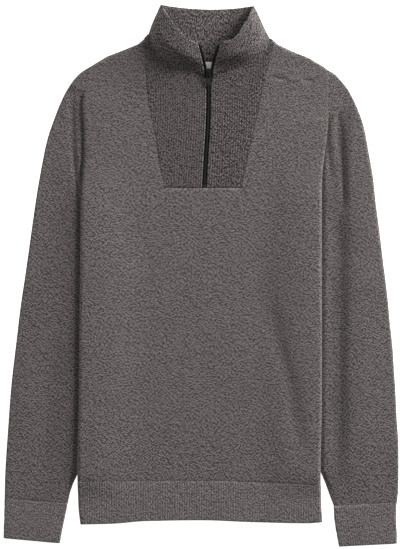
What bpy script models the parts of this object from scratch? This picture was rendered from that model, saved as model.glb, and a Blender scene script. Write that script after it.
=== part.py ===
"""Quarter zip sweater, laid flat with its front up.

The body lies face up. Its sides wrap under by SIDE_TUCK, the back folded inside the front, and
they rest on the inner margins of the two sleeves, which lie straight down beside the body. The
rib collar stands up a little and is open at the front, over a closed quarter zip.

All sizes below are in millimetres and MM turns them into Blender's metres. X runs across the
garment, Y from the hem to the collar, and Z up from the surface that the garment lies on.
Left and right are as seen from above with the collar at the top.

Each piece of cloth is a grid of points on the middle of its wall. Rows run across the piece and
columns along it, and cloth() gives the grid its thickness.
"""
import math
from collections import namedtuple

import bpy
import numpy as np

MM = 0.001
LEFT, RIGHT = -1, 1

# Cloth walls and the spaces between them
KNIT = 1.8
RIB = 2.2
COLLAR_WALL = 3.0
LAYER_STEP = KNIT + 0.3
SEAM_GAP = 0.4
BASE_GAP = 1.4
SIDE_GAP = 2.2

# Levels of the middle of a wall above the surface
FLOOR = KNIT / 2
FRONT_LEVEL = 6.2
SLEEVE_LOW = FLOOR + KNIT + 0.4
SLEEVE_SWELL = 5.0
SWELL_WIDTH = 9.0
SLEEVE_CREST = 6.2
CUFF_TOP = 4.6
SLEEVE_LIFT = 4.3

# The tuck of the body's sides
SIDE_TUCK = 55.0
SHELF = 17.5
RAMP = 78.0
PAST_TUCK = 42.0
TUCK_DROP = 20.0
OVERLAP = 16.0
BACK_RISE = 2 * LAYER_STEP
FRONT_EDGE = FLOOR + BACK_RISE + LAYER_STEP + 0.1
BACK_ROLL = 1.05
ROLL_TURNS = (-90, -45, 0, 45, 90)

Sides = namedtuple("Sides", "y left right")
Point = namedtuple("Point", "x y")
Step = namedtuple("Step", "y value")
Reach = namedtuple("Reach", "y x")
Crease = namedtuple("Crease", "piece width depth path")
Row = namedtuple("Row", "inner_x inner_y outer_y")
Ring = namedtuple("Ring", "base_x base_y base_z top_x top_y top_z puff steep")

# The body's left and right edges, which become the armhole seams above the underarm
BODY_EDGES = (
    Sides(-369, -178.8, 180.0),
    Sides(-340, -181.6, 178.0),
    Sides(-290, -183.2, 177.0),
    Sides(-185, -181.1, 178.4),
    Sides(-40, -179.6, 178.5),
    Sides(110, -178.0, 178.5),
    Sides(143, -175.7, 179.2),
    Sides(190, -172.9, 184.0),
    Sides(217, -173.4, 187.3),
    Sides(251, -175.0, 189.0),
    Sides(283, -172.0, 189.8),
    Sides(308, -167.7, 190.2),
)

# The seams between the front panel and the rib inset, carried on down to the hem
INSET_SEAMS = (
    Sides(-369, -58.0, 58.0),
    Sides(60, -55.0, 58.0),
    Sides(129.5, -55.0, 59.2),
    Sides(165, -61.0, 65.4),
    Sides(200, -66.0, 73.0),
    Sides(235, -73.5, 81.0),
    Sides(266, -78.7, 87.3),
    Sides(304, -81.7, 96.0),
    Sides(352, -84.0, 107.5),
)
INSET_BOTTOM = 129.5

# The line that the right side's middle columns follow: the tuck's inner end in the hem band,
# then the front's long soft crease, carried on up to the shoulder
CREASE_LINE = (
    Reach(-369, 130.0),
    Reach(-335, 131.0),
    Reach(-300, 146.0),
    Reach(-285, 149.0),
    Reach(-244, 143.7),
    Reach(-163, 131.8),
    Reach(-111, 117.0),
    Reach(-22, 102.0),
    Reach(60, 98.0),
    Reach(130, 100.0),
    Reach(200, 118.0),
    Reach(266, 132.0),
    Reach(350, 145.0),
)

SHOULDERS = (
    Point(-167.7, 307.4),
    Point(-160.3, 311.9),
    Point(-139.5, 324.5),
    Point(-116.1, 333.5),
    Point(-92.7, 343.0),
    Point(-84.0, 350.5),
    Point(-75.8, 360.8),
    Point(-74.0, 375.0),
    Point(98.0, 375.0),
    Point(98.8, 355.5),
    Point(106.6, 348.6),
    Point(113.5, 342.4),
    Point(133.6, 332.8),
    Point(159.7, 322.4),
    Point(180.5, 310.0),
    Point(190.2, 303.0),
)
BACK_NECK = (
    Point(-167.7, 307.0),
    Point(-160.3, 311.5),
    Point(-139.5, 324.0),
    Point(-116.1, 333.0),
    Point(-92.7, 342.5),
    Point(-84.0, 349.5),
    Point(-75.5, 352.0),
    Point(-62.0, 340.6),
    Point(-35.0, 324.6),
    Point(9.0, 316.4),
    Point(55.0, 324.6),
    Point(85.0, 338.0),
    Point(98.5, 346.0),
    Point(107.0, 346.6),
    Point(112.9, 341.6),
    Point(133.6, 332.3),
    Point(159.7, 322.0),
    Point(180.5, 309.5),
    Point(190.2, 302.5),
)
HEM_LINE = (
    Point(-180, -368.6),
    Point(-130, -367.3),
    Point(-83, -363.6),
    Point(0, -362.3),
    Point(75, -365.0),
    Point(154, -366.7),
    Point(181, -365.4),
)
HEM_SEAM_LINE = (
    Point(-180, -305.0),
    Point(30, -304.5),
    Point(110, -308.0),
    Point(181, -310.0),
)

# How high the middle of the front's edge lies near the armhole, and how far the tuck reaches
EDGE_NEAR_ARMHOLE = (
    Step(95, FRONT_EDGE + SLEEVE_LIFT),
    Step(118, 10.9),
    Step(135, 9.6),
    Step(160, 8.2),
    Step(190, 7.5),
    Step(256, 7.4),
    Step(282, 5.6),
    Step(308, 5.4),
)
TUCK_REACH = (
    Step(-369, SIDE_TUCK),
    Step(20, SIDE_TUCK),
    Step(60, 42.0),
    Step(85, 30.0),
    Step(105, 18.0),
    Step(125, 9.5),
    Step(308, 9.5),
)
# The edge meets the sleeve level with it this much lower on the right than on the left
RIGHT_MEETS_LOWER = 34.0
MEETS_FROM = 256.0

# Outer outlines of the sleeves and cuffs
SLEEVE_OUTLINE = {
    LEFT: (
        Reach(-400, -293.3), Reach(-362, -291.7), Reach(-300, -290.5), Reach(-248, -287.8),
        Reach(-194, -284.0), Reach(-129, -277.5), Reach(-62, -269.8), Reach(0, -260.4),
        Reach(91, -247.5), Reach(127, -242.3), Reach(164, -235.9), Reach(201, -227.9),
        Reach(231, -217.6), Reach(257, -207.2), Reach(281, -194.4), Reach(297.6, -181.1),
        Reach(307.4, -167.7),
    ),
    RIGHT: (
        Reach(-402, 290.5), Reach(-383, 290.0), Reach(-350, 289.0), Reach(-321, 292.0),
        Reach(-290, 293.0), Reach(-246, 292.0), Reach(-180, 288.6), Reach(-121, 284.6),
        Reach(-62, 279.5), Reach(0, 272.3), Reach(60, 265.0), Reach(104, 259.8),
        Reach(145.5, 254.6), Reach(184.5, 248.1), Reach(223.5, 240.4), Reach(247, 232.5),
        Reach(273, 219.3), Reach(295, 201.2), Reach(303.2, 190.0),
    ),
}
# How far the sleeve's inner edge lies inside the body's edge
SLEEVE_UNDER = {
    LEFT: (Step(-295, 0.0), Step(-272, 6.0), Step(-250, 12.0), Step(-222, OVERLAP),
           Step(222, OVERLAP), Step(255, -1.3), Step(308, -1.3)),
    RIGHT: (Step(-291, 0.0), Step(-270, 6.0), Step(-248, 12.0), Step(-220, OVERLAP),
            Step(192, OVERLAP), Step(222, -1.3), Step(308, -1.3)),
}
# Sleeve sections beyond the body, from the cuff seam up, then those whose inner end lies at the
# body's edge. Each joins a point on the inner edge to one on the outline.
SLEEVE_FREE_ROWS = {
    LEFT: (Row(-197.4, -336.9, -328.5), Row(-194.2, -322.0, -314.0), Row(-189.4, -308.0, -301.0)),
    RIGHT: (Row(196.4, -342.2, -334.8), Row(191.2, -328.0, -321.0), Row(184.2, -308.0, -304.0)),
}
SLEEVE_ROWS = {
    LEFT: (
        Step(-295, -289), Step(-272, -268), Step(-250, -247), Step(-222, -220), Step(-170, -169),
        Step(-110, -110), Step(-50, -50), Step(10, 10), Step(60, 62), Step(95, 99),
        Step(118, 124), Step(135, 145), Step(160, 173), Step(192, 207), Step(222, 240),
        Step(255, 271), Step(280, 286), Step(301.5, 300),
    ),
    RIGHT: (
        Step(-291, -288), Step(-270, -268), Step(-248, -247), Step(-220, -220), Step(-170, -170),
        Step(-110, -110), Step(-50, -50), Step(10, 10), Step(60, 61), Step(95, 97),
        Step(118, 122), Step(135, 143), Step(160, 172), Step(192, 208), Step(222, 238),
        Step(250, 261), Step(277, 281), Step(298, 297),
    ),
}
UNDERARM = 118
CUFF_ROWS = {
    LEFT: (Row(-197.5, -337.3, -329.0), Row(-201.2, -355.5, -347.0),
           Row(-205.4, -376.0, -368.0), Row(-209.2, -396.6, -389.0)),
    RIGHT: (Row(196.5, -342.6, -335.2), Row(197.8, -362.0, -355.0),
            Row(200.8, -382.0, -376.0), Row(204.5, -401.4, -397.0)),
}
# Distances from the body's edge of the sleeve's columns next to it
SLEEVE_COLUMNS = {LEFT: (-8.0, 2.0, 8.0, 15.0, 24.0), RIGHT: (-8.0, 2.0, 10.0, 20.0, 30.0, 42.0)}

CREASES = (
    Crease("front", 10, 1.3, ((102, -22), (117, -111), (131.8, -163), (143.7, -244), (150, -290))),
    Crease("left", 10, 1.2, ((-215, -96), (-228, -200), (-239, -304))),
    Crease("left", 4.5, 2.0, ((-193, 262), (-191, 200), (-189, 140), (-188, 100))),
    Crease("left", 4.5, -1.8, ((-184, 258), (-183, 200), (-182.5, 130))),
    Crease("right", 3.5, 1.8, ((189, 224), (191, 181), (195, 140))),
    Crease("right", 5.5, 2.4, ((207, 242), (209, 202), (213, 171), (215, 140), (214, 100))),
    Crease("right", 10, 1.5, ((212, 110), (204, 0), (201, -150), (204, -300))),
)

# The collar as a ring of sections, from the zip round the left side, the back and the right side
COLLAR_RING = (
    Ring(4.7, 298.4, 8.6, -5.6, 341.5, 23.5, 0.0, 0.25),
    Ring(-9.0, 302.0, 7.6, -12.8, 344.3, 24.5, 0.5, 0.7),
    Ring(-22.5, 305.2, 7.4, -21.5, 348.0, 25.0, 1.0, 1.0),
    Ring(-40.0, 311.0, 7.4, -31.0, 358.5, 25.0, 1.5, 1.0),
    Ring(-56.0, 320.0, 7.4, -40.0, 368.5, 24.5, 2.0, 1.0),
    Ring(-68.0, 332.0, 7.4, -48.5, 381.5, 22.5, 2.5, 1.0),
    Ring(-74.5, 346.0, 7.2, -55.0, 391.0, 18.0, 1.6, 1.0),
    Ring(-76.2, 356.5, 5.0, -58.4, 399.0, 10.5, 0.8, 1.0),
    Ring(-73.5, 356.0, 2.2, -56.8, 399.4, 4.0, 0.4, 1.0),
    Ring(-62.0, 344.5, 1.65, -45.0, 397.5, 1.8, 0.0, 1.0),
    Ring(-35.0, 328.0, 1.6, -20.0, 394.5, 1.6, 0.0, 1.0),
    Ring(9.0, 319.3, 1.6, 9.0, 393.0, 1.6, 0.0, 1.0),
    Ring(55.0, 328.0, 1.6, 40.0, 393.5, 1.6, 0.0, 1.0),
    Ring(85.0, 342.0, 1.65, 63.0, 396.0, 1.8, 0.0, 1.0),
    Ring(97.0, 350.0, 2.2, 75.2, 397.4, 4.0, 0.0, 1.0),
    Ring(99.8, 350.5, 5.0, 77.0, 396.8, 10.5, -0.6, 1.0),
    Ring(98.0, 341.5, 7.2, 73.8, 388.5, 18.0, 0.2, 1.0),
    Ring(93.0, 331.0, 7.4, 68.3, 377.5, 22.5, 1.2, 1.0),
    Ring(82.0, 320.0, 7.4, 62.0, 366.5, 24.5, 2.0, 1.0),
    Ring(66.0, 312.5, 7.4, 55.0, 355.0, 25.0, 1.5, 1.0),
    Ring(48.0, 308.5, 7.4, 47.0, 347.5, 25.0, 1.0, 1.0),
    Ring(31.0, 303.0, 7.6, 37.8, 345.0, 24.5, 0.5, 0.7),
    Ring(17.1, 298.4, 8.6, 29.2, 341.5, 23.5, 0.0, 0.25),
)
COLLAR_FRONT = 6
INSET_TOP = {LEFT: 348.5, RIGHT: 345.5}
COLLAR_HEIGHTS = (0.0, 0.12, 0.24, 0.36, 0.48, 0.62, 0.8, 1.0)
COLLAR_BEND = 0.55
COLLAR_LOW_SHARE = 0.88

# Zip
ZIP_LINE = (
    Reach(129.9, 4.5),
    Reach(146, 5.5),
    Reach(178, 7.2),
    Reach(211, 9.5),
    Reach(242, 10.7),
    Reach(275, 11.0),
    Reach(320, 11.0),
)
ZIP_SPREAD = {
    LEFT: (Reach(297, 7.1), Reach(306.4, 6.1), Reach(316.8, 3.9), Reach(324.5, 2.2),
           Reach(332.6, -0.2), Reach(340.3, -3.1)),
    RIGHT: (Reach(297, 14.8), Reach(305.2, 16.5), Reach(313.5, 18.1), Reach(321.2, 19.7),
            Reach(330, 22.5), Reach(340.3, 26.7)),
}
TAPE_WIDTH = 3.3
TAPE_WALL = 0.9
TAPE_LEVEL = 5.7
TAPE_CLIMBS = 290.0
TAPE_OPENS = 293.5
ZIP_SLOT = 7.6
CHAIN_WIDTH = 3.2
CHAIN_HEIGHT = 1.3
CHAIN_START = 134.2
STOP_SIZE = (5.0, 2.4, 1.6)
SLIDER_AT = Point(10.95, 300.2)
SLIDER_LENGTH = 11.6
SLIDER_WIDTH = 8.8
SLIDER_NOSE = 6.4
SLIDER_GAP = 0.6
PLATE = 1.2
LOWER_PLATE = (6.4, 10.4, 0.9)
DIAMOND = (2.4, 3.4)
CROWN_WIDTH = 2.6
CROWN_SPAN = 7.0
CROWN_RISE = 2.9
CROWN_STRAP = 0.9
CROWN_FROM_CENTRE = -0.3
PIVOT_FROM_CENTRE = -1.9
PIVOT_RISE = 1.15
PIN_RADIUS = 0.6
TAB_LENGTH = 17.5
TAB_WIDTH = 6.4
TAB_WALL = 1.2
TAB_EYE = 6.0
TAB_ARM = 1.3
TAB_DROOP = 9.0

# Neck label
LABEL_SIZE = (38.0, 15.0, 0.6)
LABEL_AT = Point(9.0, 308.6)

# The tuck's columns: millimetres past the sleeve's inner edge, and the largest share of the tuck
TUCK_COLUMNS = ((2.0, 0.4), (12.0, 0.62), (22.0, 0.82))
KNIT_ROWS = (-285, -262, -225, -170, -110, -50, 10, 45, 70, 90, 105)
UPPER_ROWS = (118, INSET_BOTTOM, 150, 175, 200, 225, 250, 272)
BACK_UPPER_ROWS = (118, 135, 160, 192, 222, 255, 283)
FRONT_LEFT_RAMP = (32.0, 52.0, 74.0)
CREASE_HALF = 10.0
FRONT_MIDDLE = (0.25, 0.5, 0.75)
BACK_MIDDLE = (0.055, 0.15, 0.30, 0.486, 0.68, 0.85, 0.945)
SHOULDER_ROLL = (60, 35, 0)

COLOURS = {
    "knit": (0.118, 0.104, 0.104, 1.0),
    "rib": (0.082, 0.074, 0.074, 1.0),
    "zip": (0.012, 0.012, 0.013, 1.0),
    "metal": (0.055, 0.055, 0.058, 1.0),
    "label": (0.80, 0.80, 0.80, 1.0),
}


# ---------------------------------------------------------------- curves and levels

def smooth(rows, key, value):
    """A smooth function through a table's rows that never overshoots them."""
    xs = np.array([getattr(row, key) for row in rows], float)
    ys = np.array([getattr(row, value) for row in rows], float)
    steps = np.diff(xs)
    slopes = np.diff(ys) / steps
    tangents = np.empty_like(ys)
    tangents[0], tangents[-1] = slopes[0], slopes[-1]
    for k in range(1, len(xs) - 1):
        before, after = slopes[k - 1], slopes[k]
        tangents[k] = 2 * before * after / (before + after) if before * after > 0 else 0.0

    def at(x):
        x = min(max(x, xs[0]), xs[-1])
        k = min(max(int(np.searchsorted(xs, x, side="right")) - 1, 0), len(steps) - 1)
        t = (x - xs[k]) / steps[k]
        rise = (3 - 2 * t) * t * t
        start = t * (1 - t) ** 2 * steps[k] * tangents[k]
        end = t * t * (t - 1) * steps[k] * tangents[k + 1]
        return ys[k] * (1 - rise) + ys[k + 1] * rise + start + end

    return at


def straight(rows, key, value):
    """A function through a table's rows with straight lines between them."""
    xs = [getattr(row, key) for row in rows]
    ys = [getattr(row, value) for row in rows]
    return lambda x: float(np.interp(x, xs, ys))


def ease(t):
    """Goes smoothly from 0 at t = 0 to 1 at t = 1."""
    return 0.5 - 0.5 * math.cos(math.pi * min(max(t, 0.0), 1.0))


EDGE = {LEFT: smooth(BODY_EDGES, "y", "left"), RIGHT: smooth(BODY_EDGES, "y", "right")}
INSET_EDGE = {LEFT: smooth(INSET_SEAMS, "y", "left"), RIGHT: smooth(INSET_SEAMS, "y", "right")}
OUTLINE = {side: smooth(SLEEVE_OUTLINE[side], "y", "x") for side in (LEFT, RIGHT)}
UNDER = {side: straight(SLEEVE_UNDER[side], "y", "value") for side in (LEFT, RIGHT)}
crease_line = smooth(CREASE_LINE, "y", "x")
shoulder_line = straight(SHOULDERS, "x", "y")
back_top_line = straight(BACK_NECK, "x", "y")
hem_line = smooth(HEM_LINE, "x", "y")
hem_seam_line = smooth(HEM_SEAM_LINE, "x", "y")
edge_near_armhole = smooth(EDGE_NEAR_ARMHOLE, "y", "value")
tuck_reach = straight(TUCK_REACH, "y", "value")
zip_line = smooth(ZIP_LINE, "y", "x")


def inside(x, y, side):
    """How far a point lies inside the body's edge on one side."""
    return (x - EDGE[side](y)) * -side


def lift(y):
    """How far the sleeve under it lifts the body's edge, fading out in the hem band."""
    return SLEEVE_LIFT * ease((y + 335) / 42)


def shifted(y, side):
    """Maps a height on the right edge to the matching height on the left edge."""
    return y + (RIGHT_MEETS_LOWER * ease((y - 150) / 60) if side == RIGHT else 0.0)


def front_edge_level(y, side):
    """Level of the front where its edge begins to roll under."""
    if y <= EDGE_NEAR_ARMHOLE[0].y:
        return FRONT_EDGE + lift(y)
    return edge_near_armhole(shifted(y, side))


def strip_level(y, side):
    """Level of the turned-under strip just inside the front's edge."""
    return FLOOR + lift(y) - (SLEEVE_LIFT - 2.1) * ease((shifted(y, side) - MEETS_FROM) / 26)


def front_roll(y, side):
    """Radius of the front's rolled edge."""
    return (front_edge_level(y, side) - strip_level(y, side)) / 2


def flap_level(x, y, side):
    """Level of the front's tuck, which lies on the sleeve's margin and then on the surface."""
    beyond = (inside(x, y, side) - UNDER[side](y) - 2) / TUCK_DROP
    return strip_level(y, side) - lift(y) * ease(beyond) * ease((130 - y) / 20)


def creased(level, piece, x, y):
    """Lowers a level by the creases of a piece, each of them deepest in its middle."""
    for crease in CREASES:
        if crease.piece != piece:
            continue
        xs = [point[0] for point in crease.path]
        ys = [point[1] for point in crease.path]
        order = np.argsort(ys)
        middle = float(np.interp(y, np.array(ys)[order], np.array(xs)[order]))
        span = max(ys) - min(ys)
        fade = ease((y - min(ys)) / (0.25 * span)) * ease((max(ys) - y) / (0.25 * span))
        level -= crease.depth * fade * math.exp(-((x - middle) / crease.width) ** 2)
    return level


def past_shelf(x, y, side):
    """Falls from 1 to 0 between the shelf over the sleeve's margin and the body's middle."""
    return 1 - ease((inside(x, y, side) - SHELF) / RAMP)


def past_tuck(x, y, side):
    """Falls from 1 to 0 past the inner end of the tuck."""
    return 1 - ease((inside(x, y, side) - tuck_reach(y) + 1.5) / PAST_TUCK)


def front_level(x, y):
    """Level of the front panel and of the inset, rolling down at the shoulders."""
    level = FRONT_LEVEL
    tucked = (FRONT_EDGE - FRONT_LEVEL) * (1 - ease((y - 95) / 40))
    for side in (LEFT, RIGHT):
        level += tucked * past_tuck(x, y, side)
        level += (front_edge_level(y, side) - FRONT_LEVEL - tucked) * past_shelf(x, y, side)
    level = creased(level, "front", x, y)
    low = FLOOR + KNIT / 2 + 0.4
    radius = level - low
    from_top = (shoulder_line(x) - y) / 1.09 - KNIT / 2
    if from_top < radius:
        level = low + radius * math.sqrt(max(0.0, 1 - (1 - max(from_top, 0.0) / radius) ** 2))
    return level


def back_level(x, y):
    """Level of the back panel: raised over the tucks at the sides, flat on the surface between."""
    level = FLOOR
    fade = 1 - ease((y - 105) / 60)
    for side in (LEFT, RIGHT):
        level += BACK_RISE * past_tuck(x, y, side) * fade
        level += lift(y) * past_shelf(x, y, side) * fade
    return max(FLOOR, creased(level, "front", x, y))


# ---------------------------------------------------------------- cloth and solids

def material(name, colour, roughness, metallic=0.0):
    """A Principled BSDF material."""
    result = bpy.data.materials.new(name)
    result.use_nodes = True
    shader = result.node_tree.nodes["Principled BSDF"]
    shader.inputs["Base Color"].default_value = colour
    shader.inputs["Roughness"].default_value = roughness
    shader.inputs["Metallic"].default_value = metallic
    return result


def add_object(name, vertices, faces, finish, parent=None):
    """A mesh object from points in metres."""
    mesh = bpy.data.meshes.new(name)
    mesh.from_pydata([tuple(vertex) for vertex in vertices], [], faces)
    mesh.validate()
    mesh.update()
    mesh.shade_smooth()
    mesh.set_sharp_from_angle(angle=math.radians(50))
    mesh.materials.append(finish)
    result = bpy.data.objects.new(name, mesh)
    bpy.context.collection.objects.link(result)
    result.parent = parent
    return result


def wall_normals(points, ring):
    """Unit normals of a grid, on the side that faces out when rows go up and columns go right."""
    if ring:
        across = np.roll(points, -1, axis=1) - np.roll(points, 1, axis=1)
    else:
        across = np.gradient(points, axis=1)
    along = np.gradient(points, axis=0)
    normals = np.cross(across, along)
    return normals / np.linalg.norm(normals, axis=2, keepdims=True)


def cloth(name, points, wall, finish, keep=None, ring=False):
    """A closed solid: a wall of even thickness about a grid of points in millimetres.

    keep says which cells of the grid are cloth, and ring joins the last column to the first.
    """
    rows, columns = points.shape[:2]
    cells = columns if ring else columns - 1
    if keep is None:
        keep = np.ones((rows - 1, cells), bool)
    offset = wall_normals(points, ring) * wall / 2
    vertices = np.concatenate(((points + offset).reshape(-1, 3), (points - offset).reshape(-1, 3)))
    inner = rows * columns
    faces, borders = [], {}
    for i in range(rows - 1):
        for j in range(cells):
            if not keep[i, j]:
                continue
            k = (j + 1) % columns
            corners = (i * columns + j, i * columns + k, (i + 1) * columns + k, (i + 1) * columns + j)
            a, b, c, d = corners
            faces += [(a, b, c), (a, c, d)]
            faces += [(inner + c, inner + b, inner + a), (inner + d, inner + c, inner + a)]
            for a, b in zip(corners, corners[1:] + corners[:1]):
                if (b, a) in borders:
                    del borders[(b, a)]
                else:
                    borders[(a, b)] = True
    for a, b in borders:
        faces.append((b, a, inner + a, inner + b))
    used = sorted({vertex for face in faces for vertex in face})
    renumber = {old: new for new, old in enumerate(used)}
    faces = [tuple(renumber[vertex] for vertex in face) for face in faces]
    return add_object(name, vertices[used] * MM, faces, finish)


def box(name, size, finish, at=(0, 0, 0), taper=1.0, parent=None):
    """A block about a point, its +Y end narrowed or widened by taper."""
    half = [value / 2 for value in size]
    vertices = []
    for z in (-1, 1):
        for x, y in ((-1, -1), (1, -1), (1, 1), (-1, 1)):
            wide = taper if y > 0 else 1.0
            vertices.append([(at[0] + x * half[0] * wide) * MM, (at[1] + y * half[1]) * MM,
                             (at[2] + z * half[2]) * MM])
    faces = [(3, 2, 1, 0), (4, 5, 6, 7), (0, 1, 5, 4), (1, 2, 6, 5), (2, 3, 7, 6), (3, 0, 4, 7)]
    return add_object(name, vertices, faces, finish, parent)


def join_solids(body, *others):
    """Unites solids that overlap into the first one."""
    for other in others:
        union = body.modifiers.new("join", "BOOLEAN")
        union.operation = "UNION"
        union.solver = "EXACT"
        union.object = other
        other.hide_render = True
        other.display_type = "WIRE"
    return body


# ---------------------------------------------------------------- front, back and hem

def body_columns(middle):
    """The columns of the front or the back from its left tuck over the top to its right tuck."""
    tuck = TUCK_COLUMNS + ((SIDE_TUCK, 1.0),)
    left = [("tuck", LEFT, place) for place in reversed(tuck)]
    left += [("roll", LEFT, angle) for angle in ROLL_TURNS]
    left += [("shelf", LEFT, 0)] + [("ramp", LEFT, reach) for reach in FRONT_LEFT_RAMP]
    left += [("inset", LEFT, 0)]
    centre = [("middle", LEFT, share) for share in middle]
    right = [("inset", RIGHT, 0), ("crease", RIGHT, -CREASE_HALF), ("crease", RIGHT, 0)]
    right += [("crease", RIGHT, CREASE_HALF), ("ramp", RIGHT, 0.5), ("shelf", RIGHT, 0)]
    right += [("roll", RIGHT, angle) for angle in reversed(ROLL_TURNS)]
    right += [("tuck", RIGHT, place) for place in tuck]
    return left + centre + right


def shelf_at(y, side, layer):
    """Distance of the shelf column from the body's edge."""
    if layer == "back" and y >= UNDERARM:
        return UNDER[side](y) + 1.2
    if side == RIGHT:
        return 10.0 + (SHELF - 10.0) * ease((y + 240) / 140)
    return SHELF


def column_place(column, y, layer):
    """x and level of a column of the front or the back at one height."""
    kind, side, value = column
    edge = EDGE[side](y)
    roll = front_roll(y, side)
    centre = KNIT / 2 + roll
    level = front_level if layer == "front" else back_level
    if kind == "tuck":
        past_sleeve, share = value
        reach = centre + share * (tuck_reach(y) - centre)
        reach = min(reach, max(UNDER[side](y), centre - 0.5) + past_sleeve)
        x = edge - side * reach
        return x, flap_level(x, y, side) + (LAYER_STEP if layer == "back" else 0.0)
    if kind == "roll":
        middle = strip_level(y, side) + roll
        radius = roll if layer == "front" else BACK_ROLL
        if layer == "back":
            middle -= 0.05
        turn = math.radians(value)
        return edge - side * (centre - radius * math.cos(turn)), middle + radius * math.sin(turn)
    if kind == "shelf":
        x = edge - side * shelf_at(y, side, layer)
    elif kind == "inset":
        x = INSET_EDGE[side](y) + side * SEAM_GAP / 2
    elif kind == "crease":
        x = crease_line(y) + value
    elif kind == "middle":
        low, high = INSET_EDGE[LEFT](y), INSET_EDGE[RIGHT](y)
        x = low + value * (high - low)
    elif side == LEFT:
        x = edge + value
    else:
        outer = edge - shelf_at(y, side, layer)
        x = outer + value * (crease_line(y) + CREASE_HALF - outer)
    return x, level(x, y)


def body_grid(columns, rows, layer):
    """Points for rows that are functions of x."""
    points = np.zeros((len(rows), len(columns), 3))
    for i, row in enumerate(rows):
        for j, column in enumerate(columns):
            y = row(column[1] * 100.0)
            for _ in range(4):
                x, z = column_place(column, y, layer)
                y = row(x)
            points[i, j] = (x, y, z)
    return points


def level_rows(heights):
    """Rows at even heights."""
    return [lambda x, y=y: y for y in heights]


def shoulder_rows(line):
    """Rows that follow the shoulder: one between, one before its roll, then the roll's."""
    rows = [lambda x: 0.5 * (UPPER_ROWS[-1] + line(x) - 6), lambda x: line(x) - 6]
    radius = FRONT_LEVEL - FLOOR - KNIT / 2 - 0.4
    for angle in SHOULDER_ROLL:
        drop = 1.09 * (KNIT / 2 + radius * (1 - math.cos(math.radians(angle))))
        rows.append(lambda x, drop=drop: line(x) - drop)
    return rows


def front_panel(finish):
    """The front: a sheet whose sides roll under, with a notch for the inset.

    Returns its points along the two seams of the inset.
    """
    columns = body_columns(FRONT_MIDDLE)
    seam = [lambda x: hem_seam_line(x) + SEAM_GAP / 2]
    heights = level_rows(KNIT_ROWS + UPPER_ROWS)
    heights[len(KNIT_ROWS) + 1] = lambda x: INSET_BOTTOM - SEAM_GAP / 2
    rows = seam + heights + shoulder_rows(shoulder_line)
    points = body_grid(columns, rows, "front")
    keep = np.ones((len(rows) - 1, len(columns) - 1), bool)
    kinds = [column[0] for column in columns]
    notch_row = 1 + len(KNIT_ROWS) + 1
    first, last = kinds.index("inset"), len(kinds) - 1 - kinds[::-1].index("inset")
    keep[notch_row:, first:last] = False
    roll_row = len(rows) - len(SHOULDER_ROLL) - 1
    left_turn = kinds.index("shelf") - 1
    right_turn = len(kinds) - 1 - kinds[::-1].index("shelf") + 1
    keep[roll_row:, :left_turn] = False
    keep[roll_row:, right_turn:] = False
    for i in range(roll_row + 1, len(rows)):
        for j, side in ((left_turn, LEFT), (right_turn, RIGHT)):
            y = points[i, j, 1]
            points[i, j, 0] = EDGE[side](y) - side * 0.2
            points[i, j, 2] = min(points[i, j, 2], points[i, j - side, 2])
    cloth("front_panel", points, KNIT, finish, keep)
    return {LEFT: points[notch_row:, first, :2], RIGHT: points[notch_row:, last, :2]}


def back_panel(finish):
    """The back: tucked inside the front below the underarms, flat on the surface above them."""
    columns = body_columns(BACK_MIDDLE)
    seam = [lambda x: hem_seam_line(x) + SEAM_GAP / 2]
    rows = seam + level_rows(KNIT_ROWS + BACK_UPPER_ROWS)
    rows += [lambda x: 0.5 * (BACK_UPPER_ROWS[-1] + back_top_line(x)), back_top_line]
    points = body_grid(columns, rows, "back")
    keep = np.ones((len(rows) - 1, len(columns) - 1), bool)
    kinds = [column[0] for column in columns]
    armhole = len(KNIT_ROWS)
    keep[armhole:, :kinds.index("shelf")] = False
    keep[armhole:, len(kinds) - 1 - kinds[::-1].index("shelf"):] = False
    return cloth("back_panel", points, KNIT, finish, keep)


def hem_band(layer, name, finish):
    """A rib band that carries on the front or the back below its seam."""
    columns = body_columns(FRONT_MIDDLE)
    rows = [hem_line]
    for share in (0.3, 0.6, 0.82):
        rows.append(lambda x, s=share: hem_line(x) + s * (hem_seam_line(x) - hem_line(x)))
    rows.append(lambda x: hem_seam_line(x) - SEAM_GAP / 2)
    return cloth(name, body_grid(columns, rows, layer), KNIT, finish)


# ---------------------------------------------------------------- sleeves and cuffs

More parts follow.
